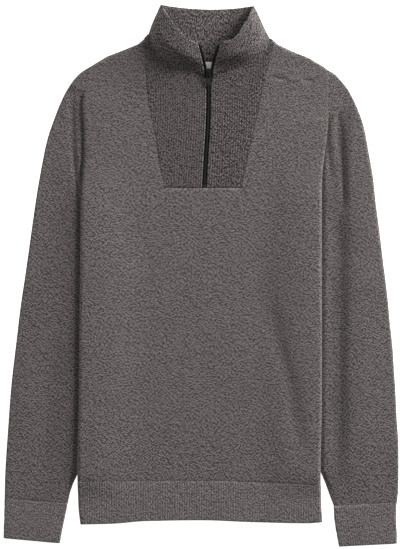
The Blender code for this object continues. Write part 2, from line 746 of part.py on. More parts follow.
def tube_section(inner, outer, near, levels, wall, piece, side, is_open=False):
    """One section of a flattened tube, from its inner fold over the top and back underneath.

    near holds distances from the inner end for the first columns of the top layer. levels gives
    the bottom level, and the top's level as a function of the distance from the inner end. An
    open section has no inner fold: both its layers reach the inner end.
    """
    bottom, top = levels
    run = np.array([outer[0] - inner[0], outer[1] - inner[1]])
    width = float(np.hypot(*run))
    run /= width
    half = wall / 2
    fold = (top(0.0) - bottom) / 2
    roll = (top(width) - bottom) / 2
    end = width - half - roll
    first = 0.0 if is_open else half + fold
    stations = [first]
    for place in near:
        stations.append(max(place, stations[-1] + 1.5))
    squeeze = min(1.0, 0.6 * (end - stations[0]) / (stations[-1] - stations[0]))
    stations = [stations[0] + (place - stations[0]) * squeeze for place in stations]
    start = stations[-1]
    stations += [start + share * (end - start) for share in (0.33, 0.66, 1.0)]
    section = []
    for place in stations:
        x, y = inner + run * place
        section.append((x, y, max(creased(top(place), piece, x, y), bottom + wall + 0.3)))
    for angle in (45, 0, -45):
        turn = math.radians(angle)
        place = end + roll * math.cos(turn)
        x, y = inner + run * place
        section.append((x, y, bottom + roll + roll * math.sin(turn)))
    for share in (0.0, 0.35, 0.7, 1.0):
        x, y = inner + run * (end + share * (first - end))
        section.append((x, y, bottom))
    for angle in (-45, 0, 45):
        turn = math.radians(90 * np.sign(angle) if is_open else angle)
        place = first - (1.0 if is_open else fold * math.cos(turn))
        x, y = inner + run * place
        section.append((x, y, bottom + fold + fold * math.sin(turn)))
    return section if side == RIGHT else section[::-1]


def sleeve_levels(edge_at, width, y, side):
    """Bottom level of a sleeve, and its top level by distance from the inner end."""
    above = ease((y + 338) / 50)
    low = SLEEVE_LOW + (4.2 - SLEEVE_LOW) * (1 - ease((y + 330) / 35))
    meets = ease((shifted(y, side) - MEETS_FROM) / 24)
    low += (front_edge_level(y, side) - 0.2 - low) * meets
    narrow = min(1.0, (width - edge_at) / 60)
    swell = max(4.4 + (SLEEVE_SWELL - 4.4) * above - low, 0.2) * narrow
    crest = (SLEEVE_CREST - SLEEVE_SWELL) * above * narrow

    def top(place):
        beside = place - edge_at
        share = beside / max(width - edge_at, 1.0)
        level = (low + swell * ease((beside - 1.5) / SWELL_WIDTH)
                 + crest * (ease((share - 0.1) / 0.4) - 0.3 * ease((share - 0.6) / 0.4)))
        return min(level, FLOOR + max(KNIT + 0.4, 0.55 * width))

    return FLOOR, top


def sleeve(side, name, finish):
    """A tapered tube beside the body, its inner margin under the body's edge, open at the top."""
    sections, open_from = [], None
    for row in SLEEVE_FREE_ROWS[side]:
        inner = np.array([row.inner_x, row.inner_y])
        outer = np.array([OUTLINE[side](row.outer_y), row.outer_y])
        sections.append((inner, outer, 2.0))
    for row in SLEEVE_ROWS[side]:
        if row.y == UNDERARM:
            open_from = len(sections)
        inner = np.array([EDGE[side](row.y) - side * UNDER[side](row.y), row.y])
        outer = np.array([OUTLINE[side](row.value), row.value])
        sections.append((inner, outer, max(UNDER[side](row.y), 0.0)))
    rows = []
    for inner, outer, edge_at in sections:
        width = float(np.hypot(*(outer - inner)))
        scale = min(1.0, (width - edge_at) / 65)
        near = [edge_at + place * scale for place in SLEEVE_COLUMNS[side] if place > 0]
        near.insert(0, max(edge_at - 8.0, 0.4 * edge_at + 2.2))
        levels = sleeve_levels(edge_at, width, inner[1], side)
        piece = "left" if side == LEFT else "right"
        is_open = open_from is not None and len(rows) > open_from
        rows.append(tube_section(inner, outer, near, levels, KNIT, piece, side, is_open))
    points = np.array(rows)
    columns = points.shape[1]
    keep = np.ones((len(rows) - 1, columns), bool)
    fold = list(range(columns - 4, columns)) if side == RIGHT else [columns - 1, 0, 1, 2]
    keep[open_from:, fold] = False
    return cloth(name, points, KNIT, finish, keep, ring=True)


def cuff(side, name, finish):
    """A rib tube below the sleeve."""
    rows = []
    for row in CUFF_ROWS[side]:
        inner = np.array([row.inner_x, row.inner_y])
        outer = np.array([OUTLINE[side](row.outer_y), row.outer_y])
        levels = (RIB / 2, lambda place: CUFF_TOP)
        rows.append(tube_section(inner, outer, (12.0, 30.0), levels, RIB, "cuff", side))
    return cloth(name, np.array(rows)[::-1], RIB, finish, ring=True)


# ---------------------------------------------------------------- collar and inset

def between(values, parts):
    """A curve through values, with parts steps from each value to the next."""
    values = np.array(values, float)
    padded = np.vstack((2 * values[0] - values[1], values, 2 * values[-1] - values[-2]))
    result = []
    for k in range(1, len(values)):
        a, b, c, d = padded[k - 1:k + 3]
        for step in range(parts):
            t = step / parts
            result.append(0.5 * (2 * b + (c - a) * t + (2 * a - 5 * b + 4 * c - d) * t ** 2
                                 + (3 * b - a - 3 * c + d) * t ** 3))
    result.append(values[-1])
    return np.array(result)


def collar_rise(height, steep):
    """Share of a section's rise reached at a share of its height: steep low down, then level."""
    bent = COLLAR_LOW_SHARE * ease(height / COLLAR_BEND) + (1 - COLLAR_LOW_SHARE) * height
    return height + (bent - height) * steep


def collar_point(ring, height):
    """A point of the collar's wall on one section."""
    base = np.array(ring[0:3])
    top = np.array(ring[3:6])
    point = base + (top - base) * height
    point[2] = base[2] + (top[2] - base[2]) * collar_rise(height, ring[7])
    centre = np.array([10.0, 352.0])
    outward = base[:2] - centre
    outward /= np.linalg.norm(outward)
    point[:2] += outward * ring[6] * math.sin(math.pi * min(height / 0.7, 1.0))
    return point


def collar_sections(parts):
    """The collar's ring with more sections between those of its table."""
    return between([tuple(ring) for ring in COLLAR_RING], parts)


def collar(finish):
    """The doubled rib collar from one side of the zip round to the other."""
    ring = collar_sections(2)
    points = np.array([[collar_point(section, height) for section in ring]
                       for height in COLLAR_HEIGHTS])
    return cloth("collar", points, COLLAR_WALL, finish)


def slot_edge(y, side):
    """x of the inset's edge beside the zip."""
    closed = zip_line(y) + side * ZIP_SLOT / 2
    opened = COLLAR_RING[0].base_x if side == LEFT else COLLAR_RING[-1].base_x
    return closed + (opened - closed) * ease((y - 283) / 14)


def inset(side, name, finish, seam_points):
    """The rib inset on one side of the zip, from its bottom seam up to the collar.

    seam_points are the front panel's own points along the seam that the inset is sewn to.
    """
    parts = 2
    ring = collar_sections(parts)
    count = COLLAR_FRONT * parts + 2
    top = ring[:count, :2] if side == LEFT else ring[-count:, :2][::-1]
    slope = np.gradient(top, axis=0)
    away = np.stack((-slope[:, 1], slope[:, 0]), axis=1) * side
    away /= np.linalg.norm(away, axis=1, keepdims=True)
    gaps = [BASE_GAP + (SIDE_GAP - BASE_GAP) * ease((k - 7) / 5) for k in range(count)]
    lowered = top - away * np.array(gaps)[:, None]
    lowered[0][0] = slot_edge(lowered[0][1], side)
    corner_y = INSET_TOP[side]
    seam_at = lambda y: float(np.interp(y, seam_points[:, 1], seam_points[:, 0])) - side * SEAM_GAP
    lowered = np.vstack((lowered, (seam_at(corner_y), corner_y)))
    bottom = INSET_BOTTOM + SEAM_GAP / 2
    heights = [y for y in seam_points[:, 1] if bottom + 5 < y < corner_y - 4]
    shares = [0.0] + [(y - bottom) / (corner_y - bottom) for y in heights] + [1.0]
    rows = []
    for share in shares:
        row = []
        for k, (top_x, top_y) in enumerate(lowered):
            y = bottom + (top_y - bottom) * share
            slot, top_slot = (slot_edge(min(level, lowered[0][1]), side) for level in (y, top_y))
            at_top = (top_x - top_slot) / (seam_at(top_y) - top_slot)
            even = k / (len(lowered) - 1)
            place = even + (at_top - even) * share ** 2
            x = slot + (seam_at(y) - slot) * place
            row.append((x, y, front_level(x, y)))
        rows.append(row if side == RIGHT else row[::-1])
    return cloth(name, np.array(rows), RIB, finish)


# ---------------------------------------------------------------- zip and label

def tape_level(y):
    """Level of the middle of the tapes: flat, then climbing with the collar's front edge."""
    ring = COLLAR_RING[0]
    if y <= ring.base_y:
        return TAPE_LEVEL + (ring.base_z - TAPE_LEVEL) * max(0.0, y - TAPE_CLIMBS) / (
            ring.base_y - TAPE_CLIMBS)
    share = min((y - ring.base_y) / (ring.top_y - ring.base_y), 1.0)
    return ring.base_z + (ring.top_z - ring.base_z) * collar_rise(share, ring.steep)


def zip_path(side):
    """Middle line of one tape, from the bottom of the zip to the top of the opening."""
    heights = (129.9, 146, 178, 211, 242, 275, TAPE_CLIMBS - 1, TAPE_OPENS)
    path = [(zip_line(y) + side * (TAPE_WIDTH / 2 + 0.15), y) for y in heights]
    path += [(place.x, place.y) for place in ZIP_SPREAD[side]]
    return [(x, y, tape_level(y)) for x, y in path]


def strip(name, path, width, wall, finish):
    """A narrow band of even width along a path that climbs in Y."""
    path = np.array(path)
    slope = np.gradient(path, axis=0)[:, :2]
    across = np.stack((slope[:, 1], -slope[:, 0], np.zeros(len(path))), axis=1)
    across /= np.linalg.norm(across, axis=1, keepdims=True)
    rows = [[point + step * width * share for share in (-0.5, 0.5)]
            for point, step in zip(path, across)]
    return cloth(name, np.array(rows), wall, finish)


def zip_pieces(zip_finish, metal):
    """Tapes, closed chain, bottom stop, slider and pull tab."""
    for side, name in ((LEFT, "zip_tape_left"), (RIGHT, "zip_tape_right")):
        strip(name, between(zip_path(side), 2), TAPE_WIDTH, TAPE_WALL, zip_finish)
    above_tape = TAPE_WALL / 2 + 0.15 + CHAIN_HEIGHT / 2
    heights = (CHAIN_START, 146, 162, 178, 194, 211, 226, 242, 258, 275, TAPE_CLIMBS - 1, TAPE_OPENS)
    path = [(zip_line(y), y, tape_level(y) + above_tape) for y in heights]
    strip("zip_chain", path, CHAIN_WIDTH, CHAIN_HEIGHT, zip_finish)
    stop_at = (zip_line(132.4), 132.4, TAPE_LEVEL + TAPE_WALL / 2 + 0.1 + STOP_SIZE[2] / 2)
    box("zip_bottom_stop", STOP_SIZE, metal, stop_at)

    low = tape_level(SLIDER_AT.y - SLIDER_LENGTH / 2)
    high = tape_level(SLIDER_AT.y + SLIDER_LENGTH / 2)
    frame = bpy.data.objects.new("slider_frame", None)
    bpy.context.collection.objects.link(frame)
    tape_top = (low + high) / 2 + TAPE_WALL / 2
    frame.location = (SLIDER_AT.x * MM, SLIDER_AT.y * MM, (tape_top + SLIDER_GAP) * MM)
    frame.rotation_euler.x = math.atan2(high - low, SLIDER_LENGTH)
    slider(metal, frame)
    pull_tab(metal, frame)


def slider(finish, frame):
    """Two plates about the tapes, joined between them, and a crown that holds the pull tab."""
    body = box("zip_slider", (SLIDER_NOSE, SLIDER_LENGTH, PLATE), finish, (0, 0, PLATE / 2),
               SLIDER_WIDTH / SLIDER_NOSE, frame)
    below = SLIDER_GAP * 2 + TAPE_WALL
    lower = box("lower_plate", LOWER_PLATE, finish, (0, 0, -below - LOWER_PLATE[2] / 2), 1.15, frame)
    post_height = below + 0.8
    diamond = box("diamond", (*DIAMOND, post_height), finish, (0, 3.0, -below / 2), 1.0, frame)
    join_solids(body, diamond, lower)
    for place in (-1, 1):
        y = CROWN_FROM_CENTRE + place * (CROWN_SPAN - CROWN_STRAP) / 2
        post = box("crown_post", (CROWN_WIDTH, CROWN_STRAP, CROWN_RISE), finish,
                   (0, y, PLATE + CROWN_RISE / 2 - 0.3), 1.0, frame)
        join_solids(body, post)
    bar = box("crown_bar", (CROWN_WIDTH + 0.02, CROWN_SPAN + 0.02, CROWN_STRAP), finish,
              (0, CROWN_FROM_CENTRE, PLATE + CROWN_RISE - CROWN_STRAP / 2 + 0.1), 1.0, frame)
    join_solids(body, bar)
    return body


def pull_tab(finish, frame):
    """A flat tab with an eye, whose pin lies under the slider's crown.

    The tab's own origin is the middle of its pin, which is the hinge's axis.
    """
    pivot = bpy.data.objects.new("pull_pivot", None)
    bpy.context.collection.objects.link(pivot)
    pivot.parent = frame
    pivot.location = (0, PIVOT_FROM_CENTRE * MM, (PLATE + PIVOT_RISE) * MM)
    pivot.rotation_euler.x = math.radians(TAB_DROOP) - frame.rotation_euler.x
    half = TAB_WIDTH / 2
    eye = half - TAB_ARM
    outline = [(-half, PIN_RADIUS), (half, PIN_RADIUS), (half, -TAB_LENGTH + 1.5),
               (half - 1.5, -TAB_LENGTH), (-half + 1.5, -TAB_LENGTH), (-half, -TAB_LENGTH + 1.5)]
    hole = [(-eye, -PIN_RADIUS), (eye, -PIN_RADIUS), (eye, -TAB_EYE), (-eye, -TAB_EYE)]
    vertices = []
    for z in (TAB_WALL / 2, -TAB_WALL / 2):
        vertices += [(x * MM, y * MM, z * MM) for x, y in outline + hole]
    rim, window = len(outline), len(hole)
    total = rim + window
    top = [(0, 6, 7, 1), (1, 7, 8, 2), (2, 8, 9, 5), (5, 9, 6, 0), (2, 5, 4, 3)]
    faces = top + [tuple(total + corner for corner in reversed(face)) for face in top]
    for k in range(rim):
        n = (k + 1) % rim
        faces.append((k, n, total + n, total + k))
    for k in range(window):
        n = (k + 1) % window
        a, b = rim + k, rim + n
        faces.append((b, a, total + a, total + b))
    return add_object("pull_tab", vertices, faces, finish, pivot)


def neck_label(finish):
    """A small bare label on the back panel, below the neck seam."""
    width, height, wall = LABEL_SIZE
    return box("neck_label", LABEL_SIZE, finish, (LABEL_AT.x, LABEL_AT.y, KNIT + 0.3 + wall / 2))


# ---------------------------------------------------------------- the sweater

def main():
    """Builds every piece."""
    for old in list(bpy.data.objects):
        bpy.data.objects.remove(old, do_unlink=True)
    knit = {name: material(name + "_knit", COLOURS["knit"], 0.95)
            for name in ("front", "back", "sleeve_left", "sleeve_right")}
    rib = {name: material(name + "_rib", COLOURS["rib"], 0.95)
           for name in ("collar", "inset_left", "inset_right")}
    for name in ("hem_front", "hem_back", "cuff_left", "cuff_right"):
        rib[name] = material(name + "_rib", COLOURS["knit"], 0.95)
    black = material("zip_tape", COLOURS["zip"], 0.7)
    metal = material("zip_metal", COLOURS["metal"], 0.35, 0.8)
    label = material("label", COLOURS["label"], 0.8)

    seams = front_panel(knit["front"])
    back_panel(knit["back"])
    hem_band("front", "hem_front", rib["hem_front"])
    hem_band("back", "hem_back", rib["hem_back"])
    sleeve(LEFT, "sleeve_left", knit["sleeve_left"])
    sleeve(RIGHT, "sleeve_right", knit["sleeve_right"])
    cuff(LEFT, "cuff_left", rib["cuff_left"])
    cuff(RIGHT, "cuff_right", rib["cuff_right"])
    collar(rib["collar"])
    inset(LEFT, "inset_left", rib["inset_left"], seams[LEFT])
    inset(RIGHT, "inset_right", rib["inset_right"], seams[RIGHT])
    zip_pieces(black, metal)
    neck_label(label)


main()
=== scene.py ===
"""Quarter zip sweater in a fine grey melange knit, laid flat with its front up.

Every length is in millimetres until MM turns it into Blender's metres. X runs across the garment,
Y from the hem to the collar, and Z up from the surface that the garment lies on. Left and right
are as seen from above with the collar at the top.

Each piece of cloth is a Sheet: a grid of points on the middle of its wall, with the relief of its
ribs and seams on its faces. The metal parts are bevelled plates. The pieces keep the forms and
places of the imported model's nodes.
"""
from __future__ import annotations

import logging
import math
from dataclasses import dataclass, field
from enum import Enum, IntEnum
from typing import Callable, NamedTuple, Sequence

import bmesh
import bpy
import numpy as np
from mathutils import Matrix, Vector


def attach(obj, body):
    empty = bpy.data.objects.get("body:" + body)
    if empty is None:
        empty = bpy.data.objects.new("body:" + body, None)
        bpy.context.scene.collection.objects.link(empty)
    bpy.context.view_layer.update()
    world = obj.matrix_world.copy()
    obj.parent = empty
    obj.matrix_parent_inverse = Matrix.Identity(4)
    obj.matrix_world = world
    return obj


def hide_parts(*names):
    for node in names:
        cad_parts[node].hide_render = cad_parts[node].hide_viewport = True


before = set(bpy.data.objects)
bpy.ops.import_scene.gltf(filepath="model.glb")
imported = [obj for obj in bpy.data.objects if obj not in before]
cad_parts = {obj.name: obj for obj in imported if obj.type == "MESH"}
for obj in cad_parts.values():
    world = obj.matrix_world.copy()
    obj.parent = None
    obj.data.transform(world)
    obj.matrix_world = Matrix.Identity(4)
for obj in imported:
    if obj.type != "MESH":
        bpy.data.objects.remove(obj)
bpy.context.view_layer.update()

MM = 0.001
log = logging.getLogger("sweater")


class Side(IntEnum):
    """A side of the garment, with the sign of its X."""

    LEFT = -1
    RIGHT = 1

    @property
    def word(self) -> str:
        """The side's name in the names of pieces."""
        return self.name.lower()


class Layer(Enum):
    """The two layers of the body."""

    FRONT = "front"
    BACK = "back"


class Run(Enum):
    """A stretch of a panel's columns: the part tucked under, the rolled edge, or the face."""

    TUCK = "tuck"
    ROLL = "roll"
    FACE = "face"


class Station(NamedTuple):
    """One column of a panel: its stretch, its side, and its place along the stretch."""

    run: Run
    side: Side
    value: float


class Joined(NamedTuple):
    """A section of a tube as its table gives it, from its inner end to its outer end."""

    inner_x: float
    inner_y: float
    outer_y: float


class Ring(NamedTuple):
    """A section of the collar from its base to its top."""

    base_x: float
    base_y: float
    base_z: float
    top_x: float
    top_y: float
    top_z: float
    puff: float
    steep: float


# ---------------------------------------------------------------- curves

def ease(t: np.ndarray | float) -> np.ndarray:
    """Goes smoothly from 0 at t = 0 to 1 at t = 1."""
    return 0.5 - 0.5 * np.cos(np.pi * np.clip(t, 0.0, 1.0))


class Fade(NamedTuple):
    """A smooth change from 0 at its start to 1 a reach away, up or (if negative) down from it."""

    start: float
    reach: float

    def __call__(self, at: np.ndarray | float) -> np.ndarray:
        """The share reached at a place."""
        return ease((at - self.start) / self.reach)


@dataclass(frozen=True)
class Curve:
    """A function through a few points, which is level past both ends."""

    points: tuple[tuple[float, float], ...]
    rounded: bool = True

    def __call__(self, at: np.ndarray | float) -> np.ndarray:
        """Reads the curve.

        Args:
            at: Where to read it.

        Returns:
            The curve's values, which never pass those of the points beside them.
        """
        xs, ys = np.array(self.points, float).T
        at = np.clip(at, xs[0], xs[-1])
        if not self.rounded:
            return np.interp(at, xs, ys)
        steps = np.diff(xs)
        slopes = np.diff(ys) / steps
        before, after = slopes[:-1], slopes[1:]
        total = np.where(before + after == 0, 1.0, before + after)
        inner = np.where(before * after > 0, 2 * before * after / total, 0.0)
        tangents = np.concatenate((slopes[:1], inner, slopes[-1:]))
        k = np.clip(np.searchsorted(xs, at, side="right") - 1, 0, len(steps) - 1)
        t = (at - xs[k]) / steps[k]
        rise = (3 - 2 * t) * t * t
        start = t * (1 - t) ** 2 * steps[k] * tangents[k]
        end = t * t * (t - 1) * steps[k] * tangents[k + 1]
        return ys[k] * (1 - rise) + ys[k + 1] * rise + start + end


def between(values: Sequence[Sequence[float]], parts: int) -> np.ndarray:
    """Draws a curve through values.

    Args:
        values: The values that it passes through.
        parts: Steps from each value to the next.

    Returns:
        The curve's values, one row each.
    """
    values = np.array(values, float)
    padded = np.vstack((2 * values[0] - values[1], values, 2 * values[-1] - values[-2]))
    t = (np.arange(parts) / parts)[:, None]
    stretches = []
    for k in range(1, len(values)):
        a, b, c, d = padded[k - 1:k + 3]
        cubic = 3 * b - a - 3 * c + d
        stretches.append(0.5 * (2 * b + (c - a) * t + (2 * a - 5 * b + 4 * c - d) * t ** 2
                                + cubic * t ** 3))
    return np.vstack(stretches + [values[-1:]])


# ---------------------------------------------------------------- how the garment lies

@dataclass(frozen=True)
class Crease:
    """A soft trough along a path, or a ridge where its depth is negative."""

    width: float
    depth: float
    path: tuple[tuple[float, float], ...]
    is_level: bool = False
    fading: float = 0.25

    def fall(self, x: np.ndarray, y: np.ndarray) -> np.ndarray:
        """How far the crease lowers the cloth at the points x, y.

        Args:
            x: X of the points.
            y: Their heights.

        Returns:
            How far the crease lowers each point.
        """
        points = [point[::-1] if self.is_level else point for point in self.path]
        x, y = (y, x) if self.is_level else (x, y)
        xs, ys = np.array(sorted(points, key=lambda point: point[1]), float).T
        middle = np.interp(y, ys, xs)
        fade = self.fading * (ys[-1] - ys[0])
        share = ease((y - ys[0]) / fade) * ease((ys[-1] - y) / fade)
        return self.depth * share * np.exp(-((x - middle) / self.width) ** 2)


@dataclass(frozen=True)
class Lay:
    """How the sweater lies: its outlines from above, and the levels of its walls."""

    knit: float = 1.8
    rib: float = 2.2
    layer_step: float = 2.1
    seam_gap: float = 0.4
    floor: float = 0.9
    front_face: float = 6.2
    front_edge: float = 7.3
    sleeve_lift: float = 4.3
    shelf: float = 17.5
    ramp: float = 78.0
    past_tuck: float = 42.0
    tuck_drop: float = 20.0
    back_rise: float = 4.2
    back_roll: float = 1.05
    underarm: float = 118.0
    inset_bottom: float = 129.5
    right_meets_lower: float = 34.0
    shoulder_slope: float = 1.09
    shoulder_clear: float = 0.4
    strip_lift: float = 2.1
    past_margin: float = 2.0
    before_end: float = 1.5
    hem_fade: Fade = Fade(-335.0, 42.0)
    shift_fade: Fade = Fade(150.0, 60.0)
    meeting: Fade = Fade(256.0, 26.0)
    armhole_fade: Fade = Fade(95.0, 40.0)
    flap_fade: Fade = Fade(130.0, -20.0)
    back_fade: Fade = Fade(105.0, 60.0)
    edge: dict[Side, Curve] = field(default_factory=lambda: {
        Side.LEFT: Curve((
            (-369, -178.8), (-340, -181.6), (-290, -183.2), (-185, -181.1), (-40, -179.6),
            (110, -178.0), (143, -175.7), (190, -172.9), (217, -173.4), (251, -175.0),
            (283, -172.0), (308, -167.7))),
        Side.RIGHT: Curve((
            (-369, 180.0), (-340, 178.0), (-290, 177.0), (-185, 178.4), (-40, 178.5),
            (110, 178.5), (143, 179.2), (190, 184.0), (217, 187.3), (251, 189.0),
            (283, 189.8), (308, 190.2)))})
    inset_edge: dict[Side, Curve] = field(default_factory=lambda: {
        Side.LEFT: Curve((
            (-369, -58.0), (60, -55.0), (129.5, -55.0), (165, -61.0), (200, -66.0),
            (235, -73.5), (266, -78.7), (304, -81.7), (352, -84.0))),
        Side.RIGHT: Curve((
            (-369, 58.0), (60, 58.0), (129.5, 59.2), (165, 65.4), (200, 73.0), (235, 81.0),
            (266, 87.3), (304, 96.0), (352, 107.5)))})
    crease_line: Curve = Curve((
        (-369, 130.0), (-335, 131.0), (-300, 146.0), (-285, 149.0), (-244, 143.7),
        (-163, 131.8), (-111, 117.0), (-22, 102.0), (60, 98.0), (130, 100.0), (200, 118.0),
        (266, 132.0), (350, 145.0)))
    shoulders: Curve = Curve((
        (-167.7, 307.4), (-160.3, 311.9), (-139.5, 324.5), (-116.1, 333.5), (-92.7, 343.0),
        (-84.0, 350.5), (-75.8, 360.8), (-74.0, 375.0), (98.0, 375.0), (98.8, 355.5),
        (106.6, 348.6), (113.5, 342.4), (133.6, 332.8), (159.7, 322.4), (180.5, 310.0),
        (190.2, 303.0)), rounded=False)
    back_neck: Curve = Curve((
        (-167.7, 307.0), (-160.3, 311.5), (-139.5, 324.0), (-116.1, 333.0), (-92.7, 342.5),
        (-84.0, 349.5), (-75.5, 352.0), (-62.0, 340.6), (-35.0, 324.6), (-3.0, 318.6),
        (9.0, 318.1), (21.0, 318.6), (55.0, 324.6), (85.0, 338.0), (98.5, 346.0),
        (107.0, 346.6), (112.9, 341.6), (133.6, 332.3), (159.7, 322.0), (180.5, 309.5),
        (190.2, 302.5)), rounded=False)
    hem: Curve = Curve((
        (-180, -368.6), (-130, -367.3), (-83, -363.6), (0, -362.3), (75, -365.0),
        (154, -366.7), (181, -365.4)))
    hem_seam: Curve = Curve(((-180, -305.0), (30, -304.5), (110, -308.0), (181, -310.0)))
    edge_near_armhole: Curve = Curve((
        (95, 11.6), (118, 10.9), (135, 9.6), (160, 8.2), (190, 7.5), (256, 7.4), (282, 5.6),
        (308, 5.4)))
    tuck_reach: Curve = Curve((
        (-369, 55.0), (20, 55.0), (60, 42.0), (85, 30.0), (105, 18.0), (125, 9.5),
        (308, 9.5)), rounded=False)
    sleeve_under: dict[Side, Curve] = field(default_factory=lambda: {
        Side.LEFT: Curve((
            (-295, 0.0), (-272, 6.0), (-250, 12.0), (-222, 16.0), (222, 16.0), (255, 1.2),
            (308, 1.2)), rounded=False),
        Side.RIGHT: Curve((
            (-291, 0.0), (-270, 6.0), (-248, 12.0), (-220, 16.0), (192, 16.0), (222, 1.2),
            (308, 1.2)), rounded=False)})
    creases: tuple[Crease, ...] = (
        Crease(13, 2.3, ((102, -22), (117, -111), (131.8, -163), (143.7, -244), (150, -290))),
        Crease(2.6, 1.8, ((103, 292.0), (130, 290.5)), is_level=True),
        Crease(2.6, -1.3, ((124, 289.5), (156, 289.0)), is_level=True),
        Crease(2.6, 1.6, ((141, 290.0), (170, 287.5)), is_level=True),
    )

    def inside(self, x: np.ndarray, y: np.ndarray, side: Side) -> np.ndarray:
        """How far points lie inside the body's edge on one side."""
        return (x - self.edge[side](y)) * -side

    def lift(self, y: np.ndarray) -> np.ndarray:
        """How far the sleeve lifts the body's edge, fading out in the hem band."""
        return self.sleeve_lift * self.hem_fade(y)

    def shifted(self, y: np.ndarray, side: Side) -> np.ndarray:
        """Maps heights on either edge to the matching heights on the left edge."""
        return y + (self.right_meets_lower * self.shift_fade(y) if side == Side.RIGHT else 0.0)

    def meets(self, y: np.ndarray, side: Side) -> np.ndarray:
        """Goes from 0 to 1 where the sleeve's top comes up level with the body's."""
        return self.meeting(self.shifted(y, side))

    def edge_level(self, y: np.ndarray, side: Side) -> np.ndarray:
        """Level of the front where its edge begins to roll under.

        Args:
            y: Heights along the edge.
            side: The edge's side.

        Returns:
            The level at each height.
        """
        low = self.front_edge + self.lift(y)
        high = self.edge_near_armhole(self.shifted(y, side))
        return np.where(y <= self.armhole_fade.start, low, high)

    def strip_level(self, y: np.ndarray, side: Side) -> np.ndarray:
        """Level of the turned-under strip just inside the front's edge."""
        lowered = (self.sleeve_lift - self.strip_lift) * self.meets(y, side)
        return self.floor + self.lift(y) - lowered

    def flap_level(self, x: np.ndarray, y: np.ndarray, side: Side) -> np.ndarray:
        """Level of the front's tuck, on the sleeve's margin and then on the surface.

        Args:
            x: X of the points.
            y: Their heights.
            side: The tuck's side.

        Returns:
            The level at each point.
        """
        past = self.inside(x, y, side) - self.sleeve_under[side](y) - self.past_margin
        down = self.lift(y) * ease(past / self.tuck_drop) * self.flap_fade(y)
        return self.strip_level(y, side) - down

    def past_shelf(self, x: np.ndarray, y: np.ndarray, side: Side) -> np.ndarray:
        """Falls from 1 to 0 between the shelf over the sleeve's margin and the middle."""
        return 1 - ease((self.inside(x, y, side) - self.shelf) / self.ramp)

    def past_end(self, x: np.ndarray, y: np.ndarray, side: Side) -> np.ndarray:
        """Falls from 1 to 0 past the inner end of the tuck."""
        beyond = self.inside(x, y, side) - self.tuck_reach(y) + self.before_end
        return 1 - ease(beyond / self.past_tuck)

    def creased(self, x: np.ndarray, y: np.ndarray) -> np.ndarray:
        """How far the body's creases lower both its layers."""
        return sum(crease.fall(x, y) for crease in self.creases)

    def front_level(self, x: np.ndarray, y: np.ndarray) -> np.ndarray:
        """Level of the front panel and of the inset, rolling down at the shoulders.

        Args:
            x: X of the points.
            y: Their heights.

        Returns:
            The level at each point.
        """
        level = np.full(np.shape(x), self.front_face)
        tucked = (self.front_edge - self.front_face) * (1 - self.armhole_fade(y))
        for side in Side:
            rise = self.edge_level(y, side) - self.front_face - tucked
            level = level + tucked * self.past_end(x, y, side)
            level = level + rise * self.past_shelf(x, y, side)
        level = level - self.creased(x, y)
        low = self.floor + self.knit / 2 + self.shoulder_clear
        radius = np.maximum(level - low, 0.1)
        from_top = (self.shoulders(x) - y) / self.shoulder_slope - self.knit / 2
        share = 1 - np.clip(from_top, 0.0, radius) / radius
        rolled = low + radius * np.sqrt(np.maximum(0.0, 1 - share ** 2))
        return np.where(from_top < radius, rolled, level)

    def back_level(self, x: np.ndarray, y: np.ndarray) -> np.ndarray:
        """Level of the back: raised over the tucks, flat on the surface between them.

        Args:
            x: X of the points.
            y: Their heights.

        Returns:
            The level at each point.
        """
        level = np.full(np.shape(x), self.floor)
        fade = 1 - self.back_fade(y)
        for side in Side:
            level = level + self.back_rise * self.past_end(x, y, side) * fade
            level = level + self.lift(y) * self.past_shelf(x, y, side) * fade
        return np.maximum(self.floor, level - self.creased(x, y))


# ---------------------------------------------------------------- cloth and small solids

